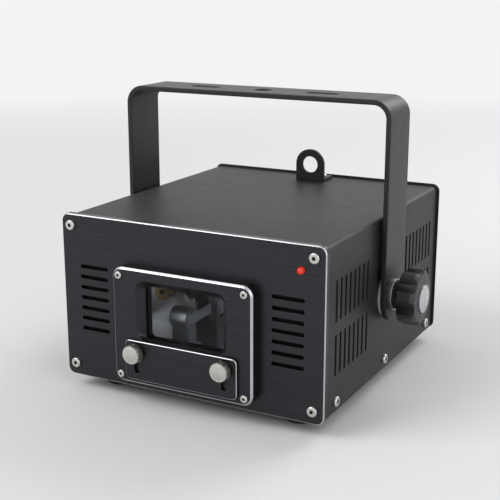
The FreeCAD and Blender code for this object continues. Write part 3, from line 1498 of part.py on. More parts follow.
nodes = {
    "base_plate": base_plate,
    "frame_rails": frame_rails,
    "top_cover": top_cover,
    "front_panel": front_panel,
    "rear_panel": rear_panel,
    "rubber_feet": rubber_feet,
    "case_screws": case_screws,
    "small_screws": small_screws,
    "pivot_plates": pivot_plates,
    "hanging_bracket": hanging_bracket,
    "friction_washers": friction_washers,
    "knob_washers": knob_washers,
    "tilt_knob_right": tilt_knob,
    "tilt_knob_left": lambda: other_side(tilt_knob()),
    "knob_stud_right": knob_stud,
    "knob_stud_left": lambda: other_side(knob_stud()),
    "aperture_bezel": aperture_bezel,
    "window_gasket": window_gasket,
    "exit_window": exit_window,
    "mask_plate": mask_plate,
    "thumbscrew_left": lambda: thumbscrew(thumb_seats[0]),
    "thumbscrew_right": lambda: thumbscrew(thumb_seats[1]),
    "indicator_lamps": indicator_lamps,
    "power_inlet": power_inlet,
    "fuse_drawer": fuse_drawer,
    "dmx_in_socket": dmx_in_socket,
    "dmx_out_socket": dmx_out_socket,
    "scan_data_socket": scan_data_socket,
    "rocker_frame": rocker_frame,
    "power_rocker": power_rocker,
    "key_lock": key_lock,
    "switch_key": switch_key,
    "menu_display": menu_display,
    "menu_button_1": lambda: menu_button(button_xs[0]),
    "menu_button_2": lambda: menu_button(button_xs[1]),
    "menu_button_3": lambda: menu_button(button_xs[2]),
    "menu_button_4": lambda: menu_button(button_xs[3]),
    "gain_knob": gain_knob,
    "control_board": control_board,
    "fan_frame": fan_frame,
    "fan_rotor": fan_rotor,
    "fan_guard": fan_guard,
    "safety_anchor": safety_anchor,
    "optics_plate": optics_plate,
    "plate_standoffs": plate_standoffs,
    "green_laser_module": lambda: laser_module(green_x, module_y0),
    "red_laser_module": lambda: laser_module(red_x, red_y0),
    "lens_barrels": lens_barrels,
    "mirror_posts": mirror_posts,
    "beam_mirrors": beam_mirrors,
    "galvo_block": galvo_block,
    "galvo_motors": galvo_motors,
    "galvo_x_mirror": galvo_x_mirror,
    "galvo_y_mirror": galvo_y_mirror,
    "shutter_solenoid": shutter_solenoid,
    "shutter_flag": shutter_flag,
    "laser_driver_boards": laser_driver_boards,
    "galvo_driver_boards": galvo_driver_boards,
    "power_supply": power_supply,
    "wiring_loom": wiring_loom,
}

os.makedirs("parts", exist_ok=True)
for name, make in nodes.items():
    shape = make()
    whole = shape.isValid() and all(solid.Volume > 0 for solid in shape.Solids)
    print(name, "solids", len(shape.Solids), "volume", round(shape.Volume), "" if whole else "BROKEN")
    shape.exportStep(os.path.join("parts", name + ".step"))

print("nodes", len(nodes))
print("case", round(case_w, 2), round(case_d, 2), round(case_top - base_z, 2))
print("pivot", round(pivot_y, 3), round(pivot_z, 3), "strap", round(strap_z0, 4), "arm", round(arm_x, 2))
print("exit", round(exit_x, 2), round(exit_z, 2), "front", round(front_y, 2), "rear", round(rear_y, 2))
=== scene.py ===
import json
import math

import bpy
from mathutils import Matrix, Vector


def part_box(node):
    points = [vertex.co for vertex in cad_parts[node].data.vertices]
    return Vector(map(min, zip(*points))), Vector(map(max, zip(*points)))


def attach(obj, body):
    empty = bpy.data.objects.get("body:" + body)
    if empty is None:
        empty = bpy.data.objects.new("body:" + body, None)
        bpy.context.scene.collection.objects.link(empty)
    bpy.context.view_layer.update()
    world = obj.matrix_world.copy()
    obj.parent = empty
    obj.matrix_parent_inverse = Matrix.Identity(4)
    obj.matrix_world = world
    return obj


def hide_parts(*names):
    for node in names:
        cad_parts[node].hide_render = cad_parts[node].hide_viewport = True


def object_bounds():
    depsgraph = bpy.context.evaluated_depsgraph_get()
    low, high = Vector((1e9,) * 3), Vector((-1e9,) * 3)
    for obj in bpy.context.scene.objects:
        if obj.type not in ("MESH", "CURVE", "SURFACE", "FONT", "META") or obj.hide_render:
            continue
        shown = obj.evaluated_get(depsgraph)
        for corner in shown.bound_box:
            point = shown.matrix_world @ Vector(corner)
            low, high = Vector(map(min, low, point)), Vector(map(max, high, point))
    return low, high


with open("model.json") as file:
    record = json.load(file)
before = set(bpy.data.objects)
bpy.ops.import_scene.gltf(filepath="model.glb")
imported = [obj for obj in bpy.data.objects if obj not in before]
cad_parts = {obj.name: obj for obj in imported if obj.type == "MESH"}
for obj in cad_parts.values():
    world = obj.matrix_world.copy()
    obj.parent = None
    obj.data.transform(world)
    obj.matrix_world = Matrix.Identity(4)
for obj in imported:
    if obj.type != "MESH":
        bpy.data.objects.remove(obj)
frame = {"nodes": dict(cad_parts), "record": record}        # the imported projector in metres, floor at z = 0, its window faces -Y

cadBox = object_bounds()
cadNodes = frame["nodes"]
record = frame["record"]
bodyOf = {node: body for body, members in record["behaviour"]["bodies"].items() for node in members}
slotOf = {entry["node"]: entry["material_slot"] for entry in record["subparts"]}
mm = 0.001
hair = 0.05 * mm        # slack where faces are picked by their place
print("frame loaded:", len(cadNodes), "nodes")


def middleOf(node):
    low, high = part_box(node)
    return (low + high) / 2


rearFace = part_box("rear_panel")[1].y
outRear = Vector((0, 1, 0))
outFront = Vector((0, -1, 0))


# Small node helpers shared by the finishes

mixUnder, mixOver, mixResult = 6, 7, 2        # the colour sockets of a Mix node
midTones = (0.3, 0.7)        # where most of a noise lies


def startFinish(name):
    material = bpy.data.materials.new(name)
    material.use_nodes = True
    tree = material.node_tree
    return material, tree, tree.nodes["Principled BSDF"]


def setSockets(tree, node, values):        # links what another node gives, writes down the rest
    for socket, value in values.items():
        if isinstance(value, bpy.types.NodeSocket):
            tree.links.new(value, node.inputs[socket])
        else:
            node.inputs[socket].default_value = value


def addNode(tree, kind, inputs, **settings):
    node = tree.nodes.new(kind)
    for key, value in settings.items():
        setattr(node, key, value)
    setSockets(tree, node, inputs)
    return node


def grain(tree, scale, detail=3.0, stretch=(1, 1, 1), rough=0.55):
    where = addNode(tree, "ShaderNodeTexCoord", {})
    fit = addNode(tree, "ShaderNodeMapping", {"Vector": where.outputs["Object"], "Scale": stretch})
    noise = addNode(tree, "ShaderNodeTexNoise", {"Vector": fit.outputs["Vector"], "Scale": scale,
                                                 "Detail": detail, "Roughness": rough})
    return noise.outputs["Fac"]


def spread(tree, value, given, wanted=(0.0, 1.0)):
    ends = {"From Min": given[0], "From Max": given[1], "To Min": wanted[0], "To Max": wanted[1]}
    return addNode(tree, "ShaderNodeMapRange", {"Value": value, **ends}).outputs["Result"]


def tint(tree, value, under, over):        # under is a colour, or what another node gives
    base = under if isinstance(under, bpy.types.NodeSocket) else (*under, 1)
    node = addNode(tree, "ShaderNodeMix", {"Factor": value, mixUnder: base, mixOver: (*over, 1)},
                   data_type="RGBA")
    return node.outputs[mixResult]


def combine(tree, operation, first, second):
    return addNode(tree, "ShaderNodeMath", {0: first, 1: second}, operation=operation).outputs[0]


def relief(tree, shader, height, depth):
    bump = addNode(tree, "ShaderNodeBump", {"Height": height, "Distance": depth * mm,
                                            "Strength": 1.0})
    setSockets(tree, shader, {"Normal": bump.outputs["Normal"]})


edgeWear = {"samples": 6, "turn": (0.97, 0.8), "patch": 260, "patchTones": (0.5, 0.68)}


def wornEdges(tree, reach, amount):
    soft = addNode(tree, "ShaderNodeBevel", {"Radius": reach * mm}, samples=edgeWear["samples"])
    flat = addNode(tree, "ShaderNodeNewGeometry", {})
    normals = {0: soft.outputs["Normal"], 1: flat.outputs["Normal"]}
    agree = addNode(tree, "ShaderNodeVectorMath", normals, operation="DOT_PRODUCT")
    edge = spread(tree, agree.outputs["Value"], edgeWear["turn"])
    patches = grain(tree, edgeWear["patch"], detail=5.0)
    share = spread(tree, patches, edgeWear["patchTones"], (0.0, amount))
    return combine(tree, "MULTIPLY", edge, share)


dustFall = {"upward": (0.6, 1.0), "patch": 160, "patchTones": (0.35, 0.75), "thinnest": 0.5}


def settledDust(tree, amount):
    facing = addNode(tree, "ShaderNodeTexCoord", {})
    parts = addNode(tree, "ShaderNodeSeparateXYZ", {"Vector": facing.outputs["Normal"]})
    upward = spread(tree, parts.outputs["Z"], dustFall["upward"])
    patches = grain(tree, dustFall["patch"], detail=8.0, rough=0.75)
    cover = spread(tree, patches, dustFall["patchTones"], (dustFall["thinnest"] * amount, amount))
    return combine(tree, "MULTIPLY", upward, cover)


# Finishes, one function for each kind of surface, with depths in millimetres

powderLook = {"dark": (0.011, 0.011, 0.012), "light": (0.019, 0.019, 0.021), "cloud": 18,
              "bare": (0.30, 0.30, 0.31), "wear": 0.3, "wearReach": 0.6,
              "dust": (0.20, 0.19, 0.18), "dustAmount": 0.045, "texture": 1100, "depth": 0.12,
              "handled": 90, "handledTones": (0.35, 0.75), "rough": (0.46, 0.53), "shine": 0.32}
bracketLook = dict(powderLook, dark=(0.009, 0.009, 0.010), texture=900, rough=(0.38, 0.46),
                   wear=0.7)


def powderCoat(name, look):
    material, tree, shader = startFinish(name)
    painted = tint(tree, grain(tree, look["cloud"], detail=4.0), look["dark"], look["light"])
    dusty = tint(tree, settledDust(tree, look["dustAmount"]), painted, look["dust"])
    worn = wornEdges(tree, look["wearReach"], look["wear"])
    handled = grain(tree, look["handled"], detail=8.0, rough=0.7)
    dull = spread(tree, handled, look["handledTones"], look["rough"])
    setSockets(tree, shader, {"Base Color": tint(tree, worn, dusty, look["bare"]),
                              "Roughness": dull, "Specular IOR Level": look["shine"]})
    relief(tree, shader, grain(tree, look["texture"], detail=2.0), look["depth"])
    return material


anodisedLook = {"dark": (0.016, 0.017, 0.020), "light": (0.050, 0.051, 0.056), "metallic": 0.8,
                "bare": (0.62, 0.63, 0.65), "wear": 0.6, "wearReach": 0.35,
                "lines": (5, 1100, 1100), "depth": 0.03, "rough": (0.26, 0.46),
                "smudge": 28, "smudgeTones": (0.4, 0.7), "smudgeRough": (-0.05, 0.08)}
machinedLook = dict(anodisedLook, dark=(0.026, 0.027, 0.030), light=(0.034, 0.035, 0.039),
                    lines=(300, 300, 300), depth=0.002, rough=(0.33, 0.37), wear=0.3)


def brushedAnodised(name, look):
    material, tree, shader = startFinish(name)
    lines = grain(tree, 1.0, detail=5.0, stretch=look["lines"], rough=0.75)
    coated = tint(tree, lines, look["dark"], look["light"])
    worn = wornEdges(tree, look["wearReach"], look["wear"])
    brushed = spread(tree, lines, midTones, look["rough"])
    touched = grain(tree, look["smudge"], detail=5.0)
    smudge = spread(tree, touched, look["smudgeTones"], look["smudgeRough"])
    setSockets(tree, shader, {"Base Color": tint(tree, worn, coated, look["bare"]),
                              "Roughness": combine(tree, "ADD", brushed, smudge),
                              "Metallic": look["metallic"]})
    relief(tree, shader, lines, look["depth"])
    return material


def metal(name, low, high, rough, lines, depth, stain=60):
    material, tree, shader = startFinish(name)
    tooled = grain(tree, 1.0, detail=4.0, stretch=lines, rough=0.65)
    setSockets(tree, shader, {"Base Color": tint(tree, grain(tree, stain), low, high),
                              "Roughness": spread(tree, tooled, midTones, rough), "Metallic": 1.0})
    relief(tree, shader, tooled, depth)
    return material


turnedLook = {"wobble": 0.4, "depth": 0.01, "haze": 90, "rough": (0.24, 0.36)}
ringScale = math.tau / 20        # a wave texture's scale for rings a metre apart


def turnedMetal(name, low, high, centre, axis, rings, smear=0.7):
    material, tree, shader = startFinish(name)
    where = addNode(tree, "ShaderNodeTexCoord", {})
    fit = addNode(tree, "ShaderNodeMapping", {"Vector": where.outputs["Object"],
                                              "Location": -centre})
    wave = {"Vector": fit.outputs["Vector"], "Scale": ringScale / (rings * mm),
            "Distortion": turnedLook["wobble"], "Detail": 2.0}
    cuts = addNode(tree, "ShaderNodeTexWave", wave, wave_type="RINGS", rings_direction=axis)
    haze = grain(tree, turnedLook["haze"], detail=4.0)
    setSockets(tree, shader, {"Base Color": tint(tree, cuts.outputs["Fac"], low, high),
                              "Roughness": spread(tree, haze, midTones, turnedLook["rough"]),
                              "Metallic": 1.0, "Anisotropic": smear})
    relief(tree, shader, cuts.outputs["Fac"], turnedLook["depth"])
    if smear:
        around = addNode(tree, "ShaderNodeTangent", {}, direction_type="RADIAL", axis=axis)
        setSockets(tree, shader, {"Tangent": around.outputs["Tangent"]})
    return material


def mouldedPlastic(name, low, high, rough, texture, depth, cloud=30):
    material, tree, shader = startFinish(name)
    tone = grain(tree, cloud)
    setSockets(tree, shader, {"Base Color": tint(tree, tone, low, high),
                              "Roughness": spread(tree, tone, midTones, rough)})
    relief(tree, shader, grain(tree, texture, detail=2.0), depth)
    return material


glassLook = {"colour": (0.95, 0.97, 1.0), "bend": 1.16, "film": 45, "filmTones": (0.6, 0.85),
             "rough": (0.0, 0.02)}        # its coating makes it shine less than bare glass


def windowGlass(name, look):
    material, tree, shader = startFinish(name)
    film = grain(tree, look["film"])
    setSockets(tree, shader, {"Base Color": (*look["colour"], 1), "IOR": look["bend"],
                              "Transmission Weight": 1.0,
                              "Roughness": spread(tree, film, look["filmTones"], look["rough"])})
    return material


mirrorLook = {"haze": 300, "hazeTones": (0.4, 0.8), "rough": (0.01, 0.05)}


def coatedMirror(name, low, high):
    material, tree, shader = startFinish(name)
    haze = grain(tree, mirrorLook["haze"])
    dull = spread(tree, haze, mirrorLook["hazeTones"], mirrorLook["rough"])
    setSockets(tree, shader, {"Base Color": tint(tree, haze, low, high), "Roughness": dull,
                              "Metallic": 1.0})
    return material


boardLook = {"mask": (0.008, 0.055, 0.022), "trace": (0.02, 0.12, 0.05), "fineness": 420,
             "traceEdge": (0.5, 0.56), "depth": 0.02, "rough": 0.35}


def circuitBoard(name, look):
    material, tree, shader = startFinish(name)
    where = addNode(tree, "ShaderNodeTexCoord", {})
    net = {"Vector": where.outputs["Object"], "Scale": look["fineness"]}
    cells = addNode(tree, "ShaderNodeTexVoronoi", net, distance="MANHATTAN", feature="F1")
    traces = spread(tree, cells.outputs["Distance"], look["traceEdge"])
    setSockets(tree, shader, {"Base Color": tint(tree, traces, look["mask"], look["trace"]),
                              "Roughness": look["rough"]})
    relief(tree, shader, traces, look["depth"])
    return material


lensLook = {"tone": 500, "dim": 0.55, "rough": 0.12, "clear": 0.35, "glow": 0.3}


def lampLens(name, colour, glow=lensLook["glow"]):
    material, tree, shader = startFinish(name)
    tone = grain(tree, lensLook["tone"], detail=2.0)
    dim = tuple(part * lensLook["dim"] for part in colour)
    setSockets(tree, shader, {"Base Color": tint(tree, tone, dim, colour),
                              "Roughness": lensLook["rough"],
                              "Transmission Weight": lensLook["clear"],
                              "Emission Color": (*colour, 1), "Emission Strength": glow})
    return material


finishes = {
    "powder_black": powderCoat("powderCoatBlack", powderLook),
    "bracket_black": powderCoat("bracketPaint", bracketLook),
    "anodised_black": brushedAnodised("anodisedBlack", anodisedLook),
    "milled_aluminium": metal("milledAluminium", low=(0.62, 0.63, 0.65), high=(0.76, 0.77, 0.78),
                              rough=(0.28, 0.45), lines=(800, 14, 800), depth=0.03),
    "zinc_steel": metal("brightZinc", low=(0.50, 0.51, 0.50), high=(0.66, 0.65, 0.60),
                        rough=(0.22, 0.38), lines=(500, 500, 500), depth=0.01),
    "supply_steel": metal("plainSheetSteel", low=(0.42, 0.43, 0.44), high=(0.56, 0.57, 0.58),
                          rough=(0.35, 0.5), lines=(600, 12, 600), depth=0.02),
    "nickel": metal("nickelPlate", low=(0.60, 0.58, 0.54), high=(0.72, 0.70, 0.66),
                    rough=(0.14, 0.26), lines=(400, 400, 400), depth=0.01),
    "barrel_brass": metal("turnedBrass", low=(0.55, 0.40, 0.16), high=(0.68, 0.52, 0.24),
                          rough=(0.22, 0.36), lines=(500, 30, 500), depth=0.02),
    "black_plastic": mouldedPlastic("mouldedBlack",
                                    low=(0.014, 0.014, 0.015), high=(0.026, 0.026, 0.028),
                                    rough=(0.36, 0.5), texture=1400, depth=0.08),
    "display_lens": mouldedPlastic("displayLens",
                                   low=(0.010, 0.006, 0.006), high=(0.016, 0.009, 0.009),
                                   rough=(0.05, 0.1), texture=60, depth=0.01),
    "foot_rubber": mouldedPlastic("footRubber",
                                  low=(0.014, 0.014, 0.014), high=(0.028, 0.027, 0.026),
                                  rough=(0.72, 0.88), texture=900, depth=0.15),
    "friction_nylon": mouldedPlastic("naturalNylon",
                                     low=(0.60, 0.58, 0.52), high=(0.70, 0.68, 0.62),
                                     rough=(0.4, 0.55), texture=700, depth=0.04),
    "window_glass": windowGlass("coatedWindow", glassLook),
    "beam_mirror": coatedMirror("coatedMirror", low=(0.82, 0.84, 0.88), high=(0.90, 0.88, 0.80)),
    "circuit_board": circuitBoard("solderMask", boardLook),
    "lamp_lens": lampLens("lampRed", (0.75, 0.04, 0.02)),
    "wire_sleeve": mouldedPlastic("wireSleeve", low=(0.30, 0.03, 0.02), high=(0.42, 0.05, 0.03),
                                  rough=(0.4, 0.55), texture=600, depth=0.05),
}
brightEdge = metal("brightChamfer", low=(0.42, 0.43, 0.45), high=(0.56, 0.57, 0.59),
                   rough=(0.24, 0.38), lines=(90, 90, 90), depth=0.01)
# painted shade: a dark steel finish on the floors and walls of the screws' drive holes, standing in
# for the shade inside them
socketShade = metal("paintedSocketShade", low=(0.045, 0.044, 0.042), high=(0.075, 0.073, 0.070),
                    rough=(0.4, 0.6), lines=(300, 300, 300), depth=0.01)
machinedBlack = brushedAnodised("machinedBlack", machinedLook)
goldPin = metal("goldFlash", low=(0.70, 0.50, 0.18), high=(0.80, 0.60, 0.26),
                rough=(0.16, 0.28), lines=(300, 300, 300), depth=0.01)
insulator = mouldedPlastic("darkInsulator", low=(0.010, 0.010, 0.011), high=(0.018, 0.018, 0.019),
                           rough=(0.4, 0.55), texture=1200, depth=0.04)
keyGrey = mouldedPlastic("keyRubberGrey", low=(0.075, 0.077, 0.080), high=(0.105, 0.107, 0.110),
                         rough=(0.5, 0.66), texture=1600, depth=0.05)
printInk = mouldedPlastic("printedWhite", low=(0.66, 0.66, 0.64), high=(0.78, 0.78, 0.76),
                          rough=(0.5, 0.65), texture=900, depth=0.02)
joiningCoat = coatedMirror("joiningCoat", low=(0.85, 0.45, 0.30), high=(0.90, 0.60, 0.62))
lampGreen = lampLens("lampGreen", (0.03, 0.55, 0.06))
lampAmber = lampLens("lampAmber", (0.80, 0.30, 0.02))
for node, obj in cadNodes.items():
    obj.data.materials.clear()
    obj.data.materials.append(finishes[slotOf[node]])
print("finishes made:", len(finishes))


# Copies of the solids with rounded edges

def alone(obj):
    bpy.ops.object.select_all(action="DESELECT")
    obj.select_set(True)
    bpy.context.view_layer.objects.active = obj


def paint(piece, finish, chosen):
    piece.data.materials.append(finish)
    number = len(piece.data.materials) - 1
    points = piece.data.vertices
    for face in piece.data.polygons:
        if chosen([points[index].co for index in face.vertices], face.normal):
            face.material_index = number


def roundEdges(piece, edge, steps, angle):
    alone(piece)
    rounding = piece.modifiers.new("rounding", "BEVEL")
    rounding.width = edge * mm
    rounding.segments = steps
    rounding.limit_method = "ANGLE"
    rounding.angle_limit = math.radians(angle)
    rounding.use_clamp_overlap = False        # clamping would shrink all edges to the smallest
    rounding.loop_slide = False
    bpy.ops.object.modifier_apply(modifier="rounding")


flatLead = 90        # how strongly large faces set the shading beside them


def smoothFaces(piece, angle):        # large faces stay flat beside their rounded edges
    alone(piece)
    bpy.ops.object.shade_smooth_by_angle(angle=math.radians(angle))
    weigh = piece.modifiers.new("weigh", "WEIGHTED_NORMAL")
    weigh.weight = flatLead
    weigh.keep_sharp = True
    bpy.ops.object.modifier_apply(modifier="weigh")


# picks the faces that get the painted shade of the drive holes
def socketFaces(piece):        # the floor and walls of each six-sided drive hole
    points = piece.data.vertices
    floorCorners = set()
    for face in piece.data.polygons:
        corners = [points[index].co for index in face.vertices]
        reaches = [(c - face.center).length for c in corners]
        if len(corners) == 6 and max(reaches) - min(reaches) < hair:
            floorCorners.update(tuple(c) for c in corners)
    return lambda corners, normal: sum(tuple(c) in floorCorners for c in corners) > 1


dressPlan = {"merge": 0.002, "flat": 0.4, "steps": 2, "angle": 32,
             "socketScrews": ("case_screws", "small_screws")}


def dress(node, edge, paints, plan):
    piece = bpy.data.objects.new(node + "_dressed", cadNodes[node].data.copy())
    bpy.context.scene.collection.objects.link(piece)
    alone(piece)
    bpy.ops.object.mode_set(mode="EDIT")
    bpy.ops.mesh.select_all(action="SELECT")
    bpy.ops.mesh.remove_doubles(threshold=plan["merge"] * mm)
    bpy.ops.mesh.dissolve_limited(angle_limit=math.radians(plan["flat"]))
    bpy.ops.object.mode_set(mode="OBJECT")
    for finish, chosen in paints:
        paint(piece, finish, chosen)
    # painted shade inside the drive holes of these screws
    if node in plan["socketScrews"]:
        paint(piece, socketShade, socketFaces(piece))
    if edge:
        roundEdges(piece, edge, plan["steps"], plan["angle"])
    smoothFaces(piece, plan["angle"])
    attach(piece, bodyOf[node])
    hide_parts(node)
    return piece


# Second finishes on single pieces: cut edges, contacts, lamps

def within(low, high):
    return lambda corners, normal: all(low[a] <= c[a] <= high[a] for c in corners for a in range(3))


def inDepth(x, z, halfX, halfZ, start, end):        # a box about x and z that runs along Y
    return within((x - halfX, start, z - halfZ), (x + halfX, end, z + halfZ))


panelCuts = {"front_panel": {"depth": 0.8, "band": 5.0},
             "aperture_bezel": {"depth": 1.5, "band": 5.0},
             "mask_plate": {"depth": 0.5, "band": 3.0}}
chamferLean = (-0.85, -0.55)        # a bright cut edge faces the front aslant
faceLean = 0.9        # a panel's own face looks straight ahead


def chamferOf(node, cut):
    low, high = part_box(node)
    deepest = low.y + cut["depth"] * mm + hair

    def nearRim(c):
        return min(c.x - low.x, high.x - c.x, c.z - low.z, high.z - c.z) < cut["band"] * mm

    return lambda corners, normal: (chamferLean[0] < normal.y < chamferLean[1]
                                    and all(c.y < deepest and nearRim(c) for c in corners))


def cutWalls(corners, normal):        # flares, slot walls and sides, which a cutter left smooth
    return abs(normal.y) < faceLean


def cutEdges(node, cut):
    return [(machinedBlack, cutWalls), (brightEdge, chamferOf(node, cut))]


inletPlan = {"bladePitch": 7.0, "bladeLift": 2.0, "socketUp": 6.5, "half": (1.1, 2.1),
             "root": 17.8, "tip": 2.9}


def inletBlades(plan):
    centre = middleOf("power_inlet")
    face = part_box("power_inlet")[1].y
    halfX, halfZ = (half * mm for half in plan["half"])
    paints = []
    for side, lift in ((-1, -1), (0, 1), (1, -1)):
        x = centre.x + side * plan["bladePitch"] * mm
        z = centre.z + (plan["socketUp"] + lift * plan["bladeLift"]) * mm
        blade = inDepth(x, z, halfX, halfZ, face - plan["root"] * mm, face - plan["tip"] * mm)
        paints.append((finishes["nickel"], blade))
    return paints


dataPlan = {"circle": 4.4, "half": 1.3, "flange": 2.5, "floor": 15.0, "root": 16.0, "room": 20.0}


def dataPins(plan):
    centre = middleOf("dmx_in_socket")
    face = rearFace + plan["flange"] * mm
    root = face - plan["root"] * mm
    half, room = plan["half"] * mm, plan["room"] * mm
    paints = []
    for dx, dz in ((-1, 0), (0, -1), (1, 0)):
        x = centre.x + dx * plan["circle"] * mm
        z = centre.z + dz * plan["circle"] * mm
        paints.append((finishes["nickel"], inDepth(x, z, half, half, root, face)))
    ground = inDepth(centre.x, centre.z, room, room, root, face - plan["floor"] * mm + hair)
    return paints + [(insulator, ground)]


scanPlan = {"flange": 1.2, "halfWidth": 18.8, "halfHeight": 3.8, "shell": 7.2, "pinRoom": 2.3}


def scanContacts(plan):
    centre = middleOf("scan_data_socket")
    face = rearFace + plan["flange"] * mm
    tips = rearFace + plan["shell"] * mm
    halfX, halfZ, pinRoom = (plan[key] * mm for key in ("halfWidth", "halfHeight", "pinRoom"))
    pins = inDepth(centre.x, centre.z, halfX, pinRoom, face - hair, tips)
    ground = inDepth(centre.x, centre.z, halfX, halfZ, face - hair, face + hair)
    return [(goldPin, pins), (insulator, ground)]


gainPlan = {"half": 0.65, "depth": 0.85, "proud": 1.0, "start": -0.1, "reach": 6.2}


def gainMark(plan):
    centre = middleOf("gain_knob")
    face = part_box("gain_knob")[1].y
    half = plan["half"] * mm
    low = (centre.x - half, face - plan["depth"] * mm, centre.z + plan["start"] * mm)
    high = (centre.x + half, face + plan["proud"] * mm, centre.z + plan["reach"] * mm)
    return [(printInk, within(low, high))]


lampRoom = {"before": 1.0, "after": 10.0}


def lampColours(room):        # the third lamp of the rear row and the front lamp stay red
    buttons = ("menu_button_1", "menu_button_2", "menu_button_3")
    xs = sorted(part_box(button)[0].x for button in buttons)
    low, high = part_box("indicator_lamps")
    before, after = room["before"] * mm, room["after"] * mm
    return [(finish, within((x - before, 0, low.z), (x + after, high.y, high.z)))
            for finish, x in ((lampAmber, xs[1]), (lampGreen, xs[2]))]


def joiningMirror():
    low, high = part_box("beam_mirrors")
    return [(joiningCoat, within((middleOf("beam_mirrors").x, low.y, low.z), high))]


barrelPlan = {"radius": 7.0, "rings": 0.8, "low": (0.52, 0.38, 0.15), "high": (0.66, 0.50, 0.22)}


def turnedBarrels(plan):
    low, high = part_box("lens_barrels")
    middle = middleOf("lens_barrels")
    reach = plan["radius"] * mm
    room = Vector((reach + hair, high.y - middle.y + hair, reach + hair))
    paints = []
    for name, x in (("greenBarrelBrass", low.x + reach), ("redBarrelBrass", high.x - reach)):
        centre = Vector((x, middle.y, middle.z))
        brass = turnedMetal(name, plan["low"], plan["high"], centre, "Y", plan["rings"], smear=0.0)
        paints.append((brass, within(centre - room, centre + room)))
    return paints


secondFinish = {
    "lens_barrels": turnedBarrels(barrelPlan),
    "power_inlet": inletBlades(inletPlan),
    "dmx_in_socket": dataPins(dataPlan),
    "scan_data_socket": scanContacts(scanPlan),
    "gain_knob": gainMark(gainPlan),
    "indicator_lamps": lampColours(lampRoom),
    "beam_mirrors": joiningMirror(),
}
secondFinish.update({node: cutEdges(node, cut) for node, cut in panelCuts.items()})
edgeRounds = {        # radius of each solid's edges, in millimetres
    "top_cover": 0.4, "front_panel": 0.25, "rear_panel": 0.35, "base_plate": 0.3,
    "hanging_bracket": 0.9, "aperture_bezel": 0.3, "mask_plate": 0.2, "tilt_knob_left": 0.0,
    "tilt_knob_right": 0.0, "rubber_feet": 1.0, "safety_anchor": 0.4, "friction_washers": 0.3,
    "knob_washers": 0.25, "thumbscrew_left": 0.0, "thumbscrew_right": 0.0, "case_screws": 0.12,
    "small_screws": 0.1, "power_inlet": 0.25, "fuse_drawer": 0.2, "dmx_in_socket": 0.15,
    "dmx_out_socket": 0.2, "scan_data_socket": 0.0, "rocker_frame": 0.0, "power_rocker": 0.2,
    "key_lock": 0.2, "switch_key": 0.2, "menu_display": 0.2, "menu_button_1": 0.1,
    "menu_button_2": 0.1, "menu_button_3": 0.1, "menu_button_4": 0.1, "gain_knob": 0.0,
    "fan_frame": 0.3, "fan_rotor": 0.2, "fan_guard": 0.0, "indicator_lamps": 0.0,
    "exit_window": 0.2, "window_gasket": 0.2, "galvo_block": 0.4, "galvo_motors": 0.3,
    "mirror_posts": 0.1, "beam_mirrors": 0.15, "optics_plate": 0.4, "green_laser_module": 0.3,
    "red_laser_module": 0.3, "power_supply": 0.4, "lens_barrels": 0.25, "galvo_driver_boards": 0.1,
    "shutter_solenoid": 0.25, "shutter_flag": 0.15, "frame_rails": 0.4, "pivot_plates": 0.4,
    "plate_standoffs": 0.3, "knob_stud_left": 0.3, "knob_stud_right": 0.3,
}
dressed = {node: dress(node, edge, secondFinish.get(node, ()), dressPlan)
           for node, edge in edgeRounds.items()}
for number in (1, 2, 3, 4):
    dressed["menu_button_%d" % number].data.materials[0] = keyGrey
print("solids dressed:", len(dressed))


# Flat marks for the panels, laid out as seen: x to the right, y up, in millimetres

inkPlan = {"thick": 0.06, "corner": 0.15, "arrowCorner": 0.12, "ringSides": 48, "textSteps": 4,
           "merge": 0.001}


def cutCorners(size, steps=3):        # of the flat shape just added
    bpy.ops.object.mode_set(mode="EDIT")
    bpy.ops.mesh.select_all(action="SELECT")
    bpy.ops.mesh.bevel(offset=size * mm, segments=steps, affect="VERTICES")
    bpy.ops.object.mode_set(mode="OBJECT")


def setDown(shape, x, y, turn=0):
    shape.rotation_euler.z = math.radians(turn)
    shape.location = (x * mm, y * mm, 0)
    bpy.ops.object.transform_apply()
    return shape


def flatBar(x, y, width, height, turn=0, corner=inkPlan["corner"], steps=3):
    bpy.ops.object.select_all(action="DESELECT")
    bpy.ops.mesh.primitive_plane_add(size=1)
    bar = bpy.context.object
    bar.scale = (width * mm, height * mm, 1)
    bpy.ops.object.transform_apply(location=False, rotation=False, scale=True)
    cutCorners(corner, steps)
    return setDown(bar, x, y, turn)


def flatArrow(x, y, radius, turn):
    bpy.ops.object.select_all(action="DESELECT")
    bpy.ops.mesh.primitive_circle_add(vertices=3, radius=radius * mm, fill_type="NGON")
    arrow = bpy.context.object
    cutCorners(inkPlan["arrowCorner"] * radius)
    return setDown(arrow, x, y, turn)


def flatRing(x, y, radius, stroke):
    bpy.ops.object.select_all(action="DESELECT")
    bpy.ops.mesh.primitive_circle_add(vertices=inkPlan["ringSides"], radius=radius * mm,
                                      fill_type="NGON")
    ring = bpy.context.object
    bpy.ops.object.mode_set(mode="EDIT")
    bpy.ops.mesh.select_mode(type="FACE")
    bpy.ops.mesh.select_all(action="SELECT")
    bpy.ops.mesh.inset(thickness=stroke * mm)
    bpy.ops.mesh.delete(type="FACE")
    bpy.ops.object.mode_set(mode="OBJECT")
    return setDown(ring, x, y)


def flatText(x, y, size, words):
    bpy.ops.object.select_all(action="DESELECT")
    bpy.ops.object.text_add()
    label = bpy.context.object
    label.data.body = words
    label.data.size = size * mm
    label.data.align_x = "CENTER"
    label.data.align_y = "CENTER"
    label.data.resolution_u = inkPlan["textSteps"]
    bpy.ops.object.convert(target="MESH")
    return setDown(bpy.context.object, x, y)


def lay(piece, at, normal):
    up = (Vector((0, 0, 1)) - normal * normal.z).normalized()
    right = up.cross(normal)
    turn = Matrix((right, up, normal)).transposed().to_4x4()
    piece.matrix_world = Matrix.Translation(at) @ turn
    alone(piece)
    bpy.ops.object.transform_apply()


